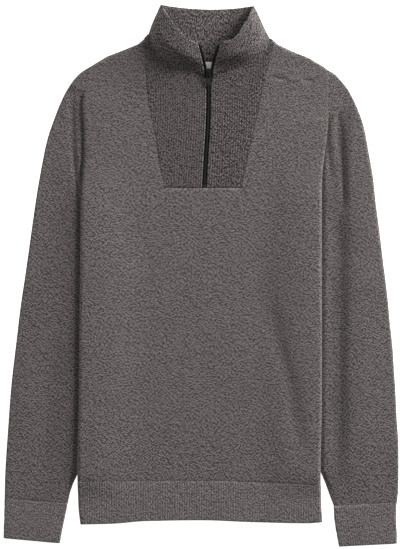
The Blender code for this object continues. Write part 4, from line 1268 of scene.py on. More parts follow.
@dataclass
class Tube:
    """A flattened tube of cloth beside the body, laid out section by section."""

    lay: Lay
    side: Side
    near_parts: int = 24
    far_parts: int = 22
    under_parts: int = 14
    turn_step: int = 15
    mark_share: float = 0.6
    layer_clear: float = 0.3
    creases: dict[Side, tuple[Crease, ...]] = field(default_factory=lambda: {
        Side.LEFT: (
            Crease(13, 1.4, ((-215, -96), (-228, -200), (-239, -304))),
            Crease(3.2, 4.2, ((-194, 278), (-191, 227), (-188, 171), (-183.5, 130),
                              (-179, 95))),
            Crease(3.0, -0.7, ((-185, 268), (-183.5, 200), (-182.5, 150)))),
        Side.RIGHT: (
            Crease(4.0, 1.6, ((186, 224), (189, 181), (193, 135))),
            Crease(4.5, 4.2, ((203, 250), (206, 202), (210, 171), (212, 140), (212, 85))),
            Crease(15, 2.8, ((211, 140), (205, 0), (202, -150), (205, -318))))})
    outline: dict[Side, Curve] = field(default_factory=lambda: {
        Side.LEFT: Curve((
            (-400, -293.3), (-362, -291.7), (-300, -290.5), (-248, -287.8), (-194, -284.0),
            (-129, -277.5), (-62, -269.8), (0, -260.4), (91, -247.5), (127, -242.3),
            (164, -235.9), (201, -227.9), (231, -217.6), (257, -207.2), (281, -194.4),
            (297.6, -181.1), (307.4, -167.7))),
        Side.RIGHT: Curve((
            (-402, 290.5), (-383, 290.0), (-350, 289.0), (-321, 292.0), (-290, 293.0),
            (-246, 292.0), (-180, 288.6), (-121, 284.6), (-62, 279.5), (0, 272.3),
            (60, 265.0), (104, 259.8), (145.5, 254.6), (184.5, 248.1), (223.5, 240.4),
            (247, 232.5), (273, 219.3), (295, 201.2), (303.2, 190.0)))})

    def section(self, inner: np.ndarray, outer: np.ndarray, mark: float,
                levels: tuple[float, Callable[[np.ndarray], np.ndarray]], wall: float,
                is_open: bool = False) -> np.ndarray:
        """Lays out one section of the tube.

        Args:
            inner: Its inner end, seen from above.
            outer: Its outer end.
            mark: Distance from the inner end up to which the top has its closest points.
            levels: The bottom's level, and the top's level by distance from the inner end.
            wall: The wall's thickness.
            is_open: Whether the inner end has no fold.

        Returns:
            Points from the inner end over the top and back underneath.
        """
        bottom, top = levels
        run = outer - inner
        width = float(np.hypot(*run))
        run = run / width
        half = wall / 2
        fold = float(top(np.array(0.0)) - bottom) / 2
        roll = float(top(np.array(width)) - bottom) / 2
        end = width - half - roll
        first = 0.0 if is_open else half + fold
        mark = min(mark, first + self.mark_share * (end - first))
        places = np.concatenate((np.linspace(first, mark, self.near_parts),
                                 np.linspace(mark, end, self.far_parts)[1:]))
        x, y = (inner + places[:, None] * run).T
        z = top(places) - sum(crease.fall(x, y) for crease in self.creases[self.side])
        upper = np.stack((x, y, np.maximum(z, bottom + wall + self.layer_clear)), axis=1)
        turns = np.radians(np.arange(90 - self.turn_step, -90, -self.turn_step))
        edge = inner + (end + roll * np.cos(turns))[:, None] * run
        edge = np.column_stack((edge, bottom + roll + roll * np.sin(turns)))
        back = np.linspace(end, first, self.under_parts)
        lower = np.column_stack((inner + back[:, None] * run, np.full(len(back), bottom)))
        reach = np.full(len(turns), 1.0) if is_open else fold * np.cos(turns)
        inside = inner + (first - reach)[:, None] * run
        rise = fold * (np.sign(-turns) if is_open else np.sin(-turns))
        inside = np.column_stack((inside, bottom + fold + rise))
        section = np.vstack((upper, edge, lower, inside))
        return section if self.side == Side.RIGHT else section[::-1]

    def fold_cells(self) -> np.ndarray:
        """The columns of cells in the inner fold.

        Returns:
            The columns' numbers, in which -1 is the last one.
        """
        turns = len(range(90 - self.turn_step, -90, -self.turn_step))
        if self.side == Side.LEFT:
            return np.arange(-1, turns)
        total = self.near_parts + self.far_parts - 1 + self.under_parts + 2 * turns
        return np.arange(total - turns - 1, total)


@dataclass
class Sleeve(Tube):
    """A tapered sleeve whose inner margin lies under the body's edge, open at the armhole."""

    rows: int = 150
    low: float = 3.1
    cuff_low: float = 4.2
    low_fade: Fade = Fade(-330.0, 35.0)
    swell: dict[Side, float] = field(default_factory=lambda: {Side.LEFT: 4.2, Side.RIGHT: 5.0})
    cuff_swell: float = 5.0
    swell_fade: Fade = Fade(-338.0, 50.0)
    full_width: float = 60.0
    near_fade: dict[Side, Fade] = field(default_factory=lambda: {
        Side.LEFT: Fade(0.8, 6.0), Side.RIGHT: Fade(0.8, 4.5)})
    ridge: float = 1.2
    ridge_fall: Fade = Fade(8.0, 38.0)
    ridge_fade: Fade = Fade(140.0, 90.0)
    far_crest: float = 3.4
    crest_rise: Fade = Fade(20.0, 24.0)
    crest_fall: Fade = Fade(62.0, 40.0)
    crest_fade: Fade = Fade(-330.0, 70.0)
    crest_loss: float = 0.6
    crest_sink: float = 0.4
    crest_base: float = 0.9
    thin_slope: float = 0.55
    thin_clear: float = 0.4
    meeting: Fade = Fade(256.0, 24.0)
    below_edge: float = 0.1
    first_rows: tuple[float, float] = (0.6, 2.0)
    free_mark: float = 2.0
    close_reach: dict[Side, float] = field(default_factory=lambda: {
        Side.LEFT: 24.0, Side.RIGHT: 42.0})
    close_width: float = 65.0
    soft_depth: float = 0.4
    soft_size: float = 80.0
    soft_fade: Fade = Fade(4.0, 14.0)
    free_rows: dict[Side, tuple[Joined, ...]] = field(default_factory=lambda: {
        Side.LEFT: (Joined(-197.4, -336.9, -328.5), Joined(-194.2, -322.0, -314.0),
                    Joined(-189.4, -308.0, -301.0), Joined(-183.2, -295.0, -289.0)),
        Side.RIGHT: (Joined(196.4, -342.2, -334.8), Joined(191.2, -328.0, -321.0),
                     Joined(184.2, -308.0, -304.0), Joined(177.0, -291.0, -288.0))})
    heights: dict[Side, Curve] = field(default_factory=lambda: {
        Side.LEFT: Curve((
            (-336.9, -328.5), (-322, -314), (-308, -301), (-295, -289), (-272, -268),
            (-250, -247), (-222, -220), (-170, -169), (-50, -50), (10, 10), (60, 62),
            (95, 99), (118, 124), (135, 145), (160, 173), (192, 207), (222, 240), (255, 271),
            (280, 286), (301.5, 300), (306.4, 305.8))),
        Side.RIGHT: Curve((
            (-342.2, -334.8), (-328, -321), (-308, -304), (-291, -288), (-270, -268),
            (-248, -247), (-220, -220), (-170, -170), (-50, -50), (10, 10), (60, 61),
            (95, 97), (118, 122), (135, 143), (160, 172), (192, 208), (222, 238), (250, 261),
            (277, 281), (298, 297), (302.0, 301.5)))})

    def levels(self, mark: float, width: float,
               y: float) -> tuple[float, Callable[[np.ndarray], np.ndarray]]:
        """Finds the levels of one section.

        Args:
            mark: Distance of the body's edge from the inner end.
            width: The section's width.
            y: The height of its inner end.

        Returns:
            The bottom's level, and the top's level by distance from the inner end.
        """
        lay = self.lay
        low = self.low + (self.cuff_low - self.low) * (1 - float(self.low_fade(y)))
        shifted = float(lay.shifted(np.array(y), self.side))
        meets = float(self.meeting(shifted))
        level = float(lay.edge_level(np.array(y), self.side))
        low += (level - self.below_edge - low) * meets
        narrow = min(1.0, (width - mark) / self.full_width)
        gain = (self.swell[self.side] - self.cuff_swell) * float(self.swell_fade(y))
        swell = max(self.cuff_swell + gain - low, 0.2) * narrow
        beside_body = float(self.crest_fade(y) * (1 - self.ridge_fade(shifted))) * narrow
        upper = float(self.crest_fade(y)) * narrow * (1 - self.crest_loss * meets)

        def top(place: np.ndarray) -> np.ndarray:
            """The top's level.

            Args:
                place: Distances from the inner end.

            Returns:
                The level at each distance.
            """
            beside = place - mark
            near = self.near_fade[self.side](beside)
            if self.side == Side.LEFT:
                hump = near * (1 - self.ridge_fall(beside))
                level = low + swell * near + self.ridge * beside_body * hump
            else:
                hump = self.crest_rise(beside) - self.crest_sink * self.crest_fall(beside)
                level = low + self.crest_base * swell * near + self.far_crest * upper * hump
            thickness = max(lay.knit + self.thin_clear, self.thin_slope * width)
            return np.minimum(level, lay.floor + thickness)

        return lay.floor, top

    def build(self, finish: bpy.types.Material) -> None:
        """Builds the sleeve.

        Args:
            finish: The piece's material.
        """
        lay, side = self.lay, self.side
        free = self.free_rows[side]
        table = self.heights[side].points
        inner_y = np.linspace(table[0][0], table[-1][0], self.rows)
        inner_y[1:3] = inner_y[0] + np.array(self.first_rows)
        outer_y = self.heights[side](inner_y)
        free_x = np.interp(inner_y, [row.inner_y for row in free], [row.inner_x for row in free])
        under = lay.sleeve_under[side](inner_y)
        inner_x = np.where(inner_y < free[-1].inner_y, free_x,
                           lay.edge[side](inner_y) - side * under)
        marks = np.maximum(under, self.free_mark * (inner_y < free[-1].inner_y))
        outer_x = self.outline[side](outer_y)
        sections = []
        for k in range(self.rows):
            inner = np.array((inner_x[k], inner_y[k]))
            outer = np.array((outer_x[k], outer_y[k]))
            width = float(np.hypot(*(outer - inner)))
            scale = min(1.0, (width - marks[k]) / self.close_width)
            near = marks[k] + self.close_reach[side] * scale
            levels = self.levels(float(marks[k]), width, float(inner_y[k]))
            is_open = inner_y[k] > lay.underarm
            sections.append(self.section(inner, outer, near, levels, lay.knit, is_open))
        points = np.array(sections)
        keep = np.ones((self.rows - 1, points.shape[1]), bool)
        is_open = inner_y[1:] > lay.underarm
        keep[np.ix_(is_open, self.fold_cells())] = False
        x, y = points[..., 0], points[..., 1]
        beside = np.abs(x) - np.abs(lay.edge[side](y))
        rises = unevenness(x, y, self.soft_size, seed=11 + side)
        soft = self.soft_depth * rises * self.soft_fade(beside)
        sheet = Sheet(points, lay.knit, ring=True, keep=keep, outer=soft)
        sheet.anchor = self.near_parts + self.far_parts
        piece = sheet.build(f"sleeve_{side.word}_knit", finish)
        settle(piece, f"sleeve_{side.word}_knit", f"sleeve_{side.word}")


@dataclass
class Cuff(Tube):
    """A rib cuff below its sleeve."""

    near_parts: int = 40
    far_parts: int = 62
    under_parts: int = 60
    top_level: float = 4.6
    mark: float = 34.0
    rib_pitch: float = 3.4
    rib_height: float = 0.42
    ring_parts: int = 5
    first_shares: tuple[float, ...] = (0.0, 0.1, 0.3)
    low_fade: Fade = Fade(0.0, 2.0)
    high_fade: Fade = Fade(0.0, 3.0)
    top_ribs: float = 0.4
    ends: dict[Side, tuple[Joined, ...]] = field(default_factory=lambda: {
        Side.LEFT: (Joined(-209.2, -396.6, -389.0), Joined(-205.4, -376.0, -368.0),
                    Joined(-201.2, -355.5, -347.0), Joined(-197.5, -337.3, -329.0)),
        Side.RIGHT: (Joined(204.5, -401.4, -397.0), Joined(200.8, -382.0, -376.0),
                     Joined(197.8, -362.0, -355.0), Joined(196.5, -342.6, -335.2))})

    def top(self, place: np.ndarray) -> np.ndarray:
        """The top's level at distances from the inner end, the same all over."""
        return np.full(np.shape(place), self.top_level)

    def build(self, finish: bpy.types.Material) -> None:
        """Builds the cuff.

        Args:
            finish: The piece's material.
        """
        lay, side = self.lay, self.side
        rows = between(self.ends[side], self.ring_parts)
        first = np.array(self.ends[side][0])
        start = [first + (rows[1] - first) * share for share in self.first_shares]
        rows = np.vstack((start, rows[1:]))
        sections = []
        for inner_x, inner_y, outer_y in rows:
            outer = np.array((float(self.outline[side](outer_y)), outer_y))
            inner = np.array((inner_x, inner_y))
            sections.append(self.section(inner, outer, self.mark, (lay.rib / 2, self.top),
                                         lay.rib))
        sheet = Sheet(np.array(sections), lay.rib, ring=True, rim=0.6)
        across, _ = sheet.lengths()
        row = np.arange(len(rows))[:, None]
        from_top = self.high_fade(len(rows) - 1 - row)
        fade = self.low_fade(row) * (self.top_ribs + (1 - self.top_ribs) * from_top)
        sheet.outer = ribs(across[:, :-1], self.rib_pitch, self.rib_height) * fade
        piece = sheet.build(f"cuff_{side.word}_rib", finish)
        settle(piece, f"cuff_{side.word}_rib", f"cuff_{side.word}")


# ---------------------------------------------------------------- collar and inset

@dataclass
class Collar:
    """The doubled rib collar, open over the zip and standing up a little."""

    lay: Lay
    wall: float = 3.0
    parts: int = 20
    bend: float = 0.55
    low_share: float = 0.88
    puff_end: float = 0.7
    rib_fade: Fade = Fade(1.0, -0.12)
    rim: float = 1.3
    rib_pitch: float = 3.5
    rib_height: float = 0.4
    heights: tuple[float, ...] = tuple(np.linspace(0, 1, 30))
    centre: tuple[float, float] = (10.0, 352.0)
    ring: tuple[Ring, ...] = (
        Ring(4.7, 298.4, 8.6, -5.6, 341.5, 23.5, 0.0, 0.25),
        Ring(-9.0, 302.0, 7.6, -12.8, 344.3, 24.5, 0.5, 0.7),
        Ring(-22.5, 305.2, 7.4, -21.5, 348.0, 25.0, 1.0, 1.0),
        Ring(-40.0, 311.0, 7.4, -31.0, 358.5, 25.0, 1.5, 1.0),
        Ring(-56.0, 320.0, 7.4, -40.0, 368.5, 24.5, 2.0, 1.0),
        Ring(-68.0, 332.0, 7.4, -48.5, 381.5, 22.5, 2.5, 1.0),
        Ring(-74.5, 346.0, 7.2, -55.0, 391.0, 18.0, 1.6, 1.0),
        Ring(-76.2, 356.5, 5.0, -58.4, 399.0, 10.5, 0.8, 1.0),
        Ring(-73.5, 356.0, 2.2, -56.8, 399.4, 4.0, 0.4, 1.0),
        Ring(-62.0, 344.5, 1.65, -45.0, 397.5, 1.8, 0.0, 1.0),
        Ring(-35.0, 328.0, 1.6, -20.0, 394.5, 1.6, 0.0, 1.0),
        Ring(9.0, 319.3, 1.6, 9.0, 393.0, 1.6, 0.0, 1.0),
        Ring(55.0, 328.0, 1.6, 40.0, 393.5, 1.6, 0.0, 1.0),
        Ring(85.0, 342.0, 1.65, 63.0, 396.0, 1.8, 0.0, 1.0),
        Ring(97.0, 350.0, 2.2, 75.2, 397.4, 4.0, 0.0, 1.0),
        Ring(99.8, 350.5, 5.0, 77.0, 396.8, 10.5, -0.6, 1.0),
        Ring(98.0, 341.5, 7.2, 73.8, 388.5, 18.0, 0.2, 1.0),
        Ring(93.0, 331.0, 7.4, 68.3, 377.5, 22.5, 1.2, 1.0),
        Ring(82.0, 320.0, 7.4, 62.0, 366.5, 24.5, 2.0, 1.0),
        Ring(66.0, 312.5, 7.4, 55.0, 355.0, 25.0, 1.5, 1.0),
        Ring(48.0, 308.5, 7.4, 47.0, 347.5, 25.0, 1.0, 1.0),
        Ring(31.0, 303.0, 7.6, 37.8, 345.0, 24.5, 0.5, 0.7),
        Ring(17.1, 298.4, 8.6, 29.2, 341.5, 23.5, 0.0, 0.25),
    )

    def rise(self, height: np.ndarray, steep: np.ndarray) -> np.ndarray:
        """Share of a section's rise at a share of its height: steep low down, then level."""
        bent = self.low_share * ease(height / self.bend) + (1 - self.low_share) * height
        return height + (bent - height) * steep

    def sections(self, parts: int) -> np.ndarray:
        """The ring with more sections between those of its table."""
        return between(self.ring, parts)

    def points(self) -> np.ndarray:
        """The grid of points on the middle of the collar's wall.

        Returns:
            Rows from the base to the top, and columns round the neck.
        """
        ring = self.sections(self.parts)
        heights = np.array(self.heights)[:, None, None]
        base, top = ring[None, :, 0:3], ring[None, :, 3:6]
        points = base + (top - base) * heights
        rise = self.rise(heights[..., 0], ring[None, :, 7])
        points[..., 2] = base[..., 2] + (top[..., 2] - base[..., 2]) * rise
        away = ring[:, :2] - np.array(self.centre)
        away /= np.linalg.norm(away, axis=1, keepdims=True)
        raised = np.minimum(heights[..., 0] / self.puff_end, 1.0)
        puff = ring[None, :, 6] * np.sin(np.pi * raised)
        points[..., :2] += away[None] * puff[..., None]
        return points

    def build(self, finish: bpy.types.Material) -> None:
        """Builds the collar.

        Args:
            finish: The piece's material.
        """
        points = self.points()
        sheet = Sheet(points, self.wall, rim=self.rim)
        middle = Sheet(points[len(points) // 2:len(points) // 2 + 1].repeat(2, axis=0), self.wall)
        across = middle.lengths()[0][:1]
        heights = np.array(self.heights)[:, None]
        relief = ribs(across, self.rib_pitch, self.rib_height) * self.rib_fade(heights)
        sheet.outer = relief
        sheet.inner = relief
        sheet.across = across
        piece = sheet.build("collar_rib", finish)
        settle(piece, "collar_rib", "collar")


@dataclass
class Zip:
    """The zip: tapes, closed and open coil, bottom stop, and the slider's place."""

    lay: Lay
    line: Curve = Curve(((129.9, 4.5), (146, 5.5), (178, 7.2), (211, 9.5), (242, 10.7),
                         (275, 11.0), (320, 11.0)))
    spread: dict[Side, tuple[tuple[float, float], ...]] = field(default_factory=lambda: {
        Side.LEFT: ((297, 7.1), (306.4, 6.1), (316.8, 3.9), (324.5, 2.2), (332.6, -0.2),
                    (340.3, -3.1)),
        Side.RIGHT: ((297, 14.8), (305.2, 16.5), (313.5, 18.1), (321.2, 19.7), (330, 22.5),
                     (340.3, 26.7))})
    tape_width: float = 3.3
    tape_wall: float = 0.9
    tape_low: float = 5.7
    tape_parts: int = 8
    tape_shares: tuple[float, ...] = tuple(np.linspace(-0.5, 0.5, 9))
    half_gap: float = 0.15
    cord_height: float = 0.18
    cord_at: float = 0.38
    cord_width: float = 0.08
    climbs: float = 290.0
    opens: float = 293.5
    slot: float = 7.6
    slot_fade: Fade = Fade(283.0, 14.0)
    chain_start: float = 134.2
    tooth_pitch: float = 1.35
    tooth_radius: float = 0.5
    tooth_clear: float = 0.15
    tooth_reach: tuple[float, float] = (1.6, 0.35)
    open_reach: float = 0.9
    open_radius: float = 0.45
    open_inset: float = 0.3
    open_rise: float = 0.3
    past_slider: float = 0.5
    stop_size: tuple[float, float, float] = (5.0, 2.4, 1.6)
    stop_at: float = 132.4
    stop_bevel: float = 0.45
    stop_clear: float = 0.1
    slider_at: tuple[float, float] = (10.95, 300.2)
    slider_length: float = 11.6
    slider_gap: float = 0.6

    def tape_level(self, y: np.ndarray, collar: Collar) -> np.ndarray:
        """Level of the middle of the tapes: flat, then climbing with the collar's edge.

        Args:
            y: Heights along the zip.
            collar: The collar, whose front edges the tapes follow.

        Returns:
            The level at each height.
        """
        ring = collar.ring[0]
        climb = np.maximum(0.0, y - self.climbs) / (ring.base_y - self.climbs)
        low = self.tape_low + (ring.base_z - self.tape_low) * climb
        share = np.clip((y - ring.base_y) / (ring.top_y - ring.base_y), 0.0, 1.0)
        high = ring.base_z + (ring.top_z - ring.base_z) * collar.rise(share, ring.steep)
        return np.where(y <= ring.base_y, low, high)

    def slot_edge(self, y: np.ndarray, side: Side, collar: Collar) -> np.ndarray:
        """X of the inset's edge beside the zip.

        Args:
            y: Heights along the zip.
            side: The inset's side.
            collar: The collar, whose front edges the tapes follow.

        Returns:
            The edge's X at each height.
        """
        closed = self.line(y) + side * self.slot / 2
        opened = collar.ring[0].base_x if side == Side.LEFT else collar.ring[-1].base_x
        return closed + (opened - closed) * self.slot_fade(y)

    def path(self, side: Side, collar: Collar) -> np.ndarray:
        """Middle line of one tape, from the bottom of the zip to the top of the opening.

        Args:
            side: The tape's side.
            collar: The collar, whose front edges the tapes follow.

        Returns:
            Points along the tape.
        """
        turns = [y for y, _ in self.line.points[:-1]]
        heights = np.array((*turns, self.climbs - 1, self.opens))
        xs = self.line(heights) + side * (self.tape_width / 2 + self.half_gap)
        spots = list(zip(xs, heights)) + [(x, y) for y, x in self.spread[side]]
        return np.array([(x, y, float(self.tape_level(np.array(y), collar))) for x, y in spots])

    @staticmethod
    def across(path: np.ndarray) -> np.ndarray:
        """Level unit vectors across a path that climbs in Y.

        Args:
            path: Points along the path.

        Returns:
            A unit vector at each point.
        """
        slope = np.gradient(path, axis=0)[:, :2]
        across = np.stack((slope[:, 1], -slope[:, 0], np.zeros(len(path))), axis=1)
        return across / np.linalg.norm(across, axis=1, keepdims=True)

    def tape(self, side: Side, collar: Collar, finish: bpy.types.Material) -> None:
        """Builds one tape.

        Args:
            side: The tape's side.
            collar: The collar, whose front edges the tapes follow.
            finish: The piece's material.
        """
        path = between(self.path(side, collar), self.tape_parts)
        shares = np.array(self.tape_shares)
        points = path[:, None] + self.across(path)[:, None] * shares[:, None] * self.tape_width
        sheet = Sheet(points, self.tape_wall, rim=0.3)
        from_cord = (shares * side - self.cord_at) / self.cord_width
        cord = self.cord_height * np.exp(-from_cord ** 2)
        sheet.outer = np.broadcast_to(cord, points.shape[:2])
        piece = sheet.build(f"zip_tape_{side.word}_weave", finish)
        settle(piece, f"zip_tape_{side.word}", f"zip_tape_{side.word}")

    def teeth(self, path: np.ndarray, reach: tuple[float, float],
              offset: float) -> tuple[np.ndarray, np.ndarray]:
        """Places the coil's teeth along a path.

        Args:
            path: The middle of the teeth.
            reach: How far each tooth reaches across the path to either side.
            offset: The first tooth's place, in teeth.

        Returns:
            The two ends of each tooth.
        """
        middle = spaced(path, self.tooth_pitch, offset)
        across = self.across(middle)
        return middle + across * reach[0], middle + across * reach[1]

    def chain(self, collar: Collar, finish: bpy.types.Material) -> None:
        """Builds the closed coil.

        Args:
            collar: The collar, whose front edges the tapes follow.
            finish: The piece's material.
        """
        heights = np.linspace(self.chain_start, self.opens, 90)
        rise = self.tape_wall / 2 + self.tooth_clear + self.tooth_radius
        levels = self.tape_level(heights, collar) + rise
        path = np.stack((self.line(heights), heights, levels), axis=1)
        far, near = self.tooth_reach
        left = self.teeth(path, (-far, near), 0.0)
        right = self.teeth(path, (-near, far), 0.5)
        starts, ends = np.vstack((left[0], right[0])), np.vstack((left[1], right[1]))
        points, faces = capsules(starts, ends, self.tooth_radius)
        piece = add_piece("zip_coil", points * MM, faces, finish)
        settle(piece, "zip_chain", "zip_chain")

    def open_teeth(self, side: Side, collar: Collar, finish: bpy.types.Material) -> None:
        """Builds the teeth along one open tape above the slider.

        Args:
            side: The tape's side.
            collar: The collar, whose front edges the tapes follow.
            finish: The piece's material.
        """
        path = between(self.path(side, collar), self.tape_parts)
        path = path[path[:, 1] > self.slider_at[1] + self.slider_length / 2 + self.past_slider]
        path = path - self.across(path) * side * (self.tape_width / 2 - self.open_inset)
        path[:, 2] += self.tape_wall / 2 + self.open_rise
        starts, ends = self.teeth(path, (-self.open_reach, self.open_reach), 0.0)
        points, faces = capsules(starts, ends, self.open_radius)
        piece = add_piece(f"zip_open_coil_{side.word}", points * MM, faces, finish)
        settle(piece, "zip_chain")

    def stop(self, finish: bpy.types.Material) -> None:
        """Builds the crimped bottom stop.

        Args:
            finish: The piece's material.
        """
        width, length, height = self.stop_size
        work = MetalWork()
        work.plate(block(width, -length / 2, length / 2), 0.0, height, self.stop_bevel, 3)
        low = self.tape_low + self.tape_wall / 2 + self.stop_clear
        place = Matrix.Translation((float(self.line(self.stop_at)), self.stop_at, low))
        piece = work.finish("zip_bottom_crimp", place, finish)
        settle(piece, "zip_stop", "zip_bottom_stop")

    def slider_place(self, collar: Collar) -> Matrix:
        """Where the slider's upper plate lies, tilted with the tapes.

        Args:
            collar: The collar, whose front edges the tapes follow.

        Returns:
            The place of the slider's own origin, in millimetres.
        """
        half = self.slider_length / 2
        low = float(self.tape_level(np.array(self.slider_at[1] - half), collar))
        high = float(self.tape_level(np.array(self.slider_at[1] + half), collar))
        level = (low + high) / 2 + self.tape_wall / 2 + self.slider_gap
        tilt = math.atan2(high - low, self.slider_length)
        return Matrix.Translation((*self.slider_at, level)) @ Matrix.Rotation(tilt, 4, "X")


@dataclass
class Inset:
    """The rib inset on one side of the zip."""

    lay: Lay
    side: Side
    parts: int = 16
    corner_parts: int = 8
    rows: int = 84
    base_gap: float = 0.7
    side_gap: float = 1.7
    gap_fade: Fade = Fade(7.0, 5.0)
    front_sections: float = 7.0
    rib_pitch: float = 3.6
    rib_height: float = 0.5
    strip: float = 2.5
    strip_height: float = 0.5
    strip_groove: float = 0.8
    top: dict[Side, float] = field(default_factory=lambda: {Side.LEFT: 350.6, Side.RIGHT: 348.3})
    area: dict[Side, float] = field(default_factory=lambda: {Side.LEFT: 0.0149, Side.RIGHT: 0.0129})

    def seam(self, y: np.ndarray | float) -> np.ndarray:
        """X of the inset's edge beside the front panel."""
        return self.lay.inset_edge[self.side](y) - self.side * self.lay.seam_gap / 2

    def build(self, zip_line: Zip, collar: Collar, finish: bpy.types.Material) -> None:
        """Builds the inset from its bottom seam up to the collar.

        Args:
            zip_line: The zip that it lies beside.
            collar: The collar that it runs up to.
            finish: The piece's material.
        """
        lay, side = self.lay, self.side
        ring = collar.sections(self.parts)
        count = int(self.front_sections * self.parts) + 1
        top = ring[:count, :2] if side == Side.LEFT else ring[-count:, :2][::-1]
        slope = np.gradient(top, axis=0)
        away = np.stack((-slope[:, 1], slope[:, 0]), axis=1) * side
        away /= np.linalg.norm(away, axis=1, keepdims=True)
        half_sections = np.arange(count) * 2 / self.parts
        gaps = self.base_gap + (self.side_gap - self.base_gap) * self.gap_fade(half_sections)
        lowered = top - away * gaps[:, None]
        lowered[0][0] = zip_line.slot_edge(lowered[0][1], side, collar)
        corner_y = self.top[side]
        corner = np.array((float(self.seam(corner_y)), corner_y))
        shares = np.linspace(0, 1, self.corner_parts + 1)[1:, None]
        lowered = np.vstack((lowered, lowered[-1] + shares * (corner - lowered[-1])))
        bottom = lay.inset_bottom + lay.seam_gap / 2
        share = np.linspace(0, 1, self.rows)[:, None]
        top_x, top_y = lowered[:, 0][None], lowered[:, 1][None]
        y = bottom + (top_y - bottom) * share
        slot = zip_line.slot_edge(np.minimum(y, lowered[0][1]), side, collar)
        top_slot = zip_line.slot_edge(np.minimum(top_y, lowered[0][1]), side, collar)
        at_top = (top_x - top_slot) / (self.seam(top_y) - top_slot)
        even = np.linspace(0, 1, len(lowered))[None]
        place = even + (at_top - even) * share ** 2
        x = slot + (self.seam(y) - slot) * place
        z = lay.front_level(x, y)
        beside = np.abs(x - slot)
        across = beside - self.strip - 0.5 * self.rib_pitch
        relief = ribs(across, self.rib_pitch, self.rib_height)
        relief *= ease((beside - self.strip) / self.strip_groove)
        off_middle = (beside - self.strip / 2) / (self.strip / 2)
        relief += self.strip_height * np.sqrt(np.clip(1 - off_middle ** 2, 0, 1))
        points = np.stack((x, y, z), axis=2)
        if side == Side.LEFT:
            points, relief, across = points[:, ::-1], relief[:, ::-1], -across[:, ::-1]
        sheet = Sheet(points, lay.rib, outer=relief, across=across)
        piece = sheet.build(f"inset_{side.word}_rib", finish)
        settle(piece, f"inset_{side.word}_rib", f"inset_{side.word}")


# ---------------------------------------------------------------- metal and label

def block(width: float, low: float, high: float) -> list[tuple[float, float]]:
    """Corners of a rectangle about the Y axis, counterclockwise from above."""
    half = width / 2
    return [(-half, low), (half, low), (half, high), (-half, high)]


class MetalWork:
    """A small casting put together from bevelled plates."""

    SHARP = math.radians(25)
    SMOOTH = math.radians(40)
    PROFILE = 0.6

    def __init__(self) -> None:
        """Starts with nothing."""
        self.mesh = bmesh.new()

    def plate(self, outline: Sequence[tuple[float, float]], low: float, high: float,
              bevel: float, segments: int = 2) -> None:
        """Adds a plate.

        Args:
            outline: Its corners, counterclockwise from above.
            low: Its lower level.
            high: Its upper level.
            bevel: The width of its rounded edges.
            segments: Steps across each rounded edge.
        """
        part = bmesh.new()
        upper = [part.verts.new((x, y, high)) for x, y in outline]
        lower = [part.verts.new((x, y, low)) for x, y in outline]
        part.faces.new(upper)
        part.faces.new(lower[::-1])
        for k in range(len(outline)):
            n = (k + 1) % len(outline)
            part.faces.new((lower[k], lower[n], upper[n], upper[k]))
        self.soften(part, bevel, segments)
        self.take(part)

    @staticmethod
    def soften(part: bmesh.types.BMesh, bevel: float, segments: int) -> None:
        """Rounds the sharp edges of a part.

        Args:
            part: The part.
            bevel: The width of its rounded edges.
            segments: Steps across each rounded edge.
        """
        part.normal_update()
        sharp = [edge for edge in part.edges if edge.calc_face_angle(0.0) > MetalWork.SHARP]
        bmesh.ops.bevel(part, geom=sharp, offset=bevel, segments=segments, affect="EDGES",
                        profile=MetalWork.PROFILE, clamp_overlap=True)

    def take(self, part: bmesh.types.BMesh) -> None:
        """Moves a finished part into the casting.

        Args:
            part: The part, which is used up.
        """
        mesh = bpy.data.meshes.new("part")
        part.to_mesh(mesh)
        part.free()
        self.mesh.from_mesh(mesh)
        bpy.data.meshes.remove(mesh)

    def finish(self, name: str, place: Matrix, finish: bpy.types.Material) -> bpy.types.Object:
        """Puts the casting in its place.

        Args:
            name: The piece's name.
            place: Where its own origin goes, in millimetres.
            finish: Its material.

        Returns:
            The new object.
        """
        self.mesh.transform(Matrix.Scale(MM, 4) @ place)
        self.mesh.normal_update()
        mesh = bpy.data.meshes.new(name)
        self.mesh.to_mesh(mesh)
        self.mesh.free()
        mesh.shade_smooth()
        mesh.set_sharp_from_angle(angle=self.SMOOTH)
        return place_mesh(mesh, finish)


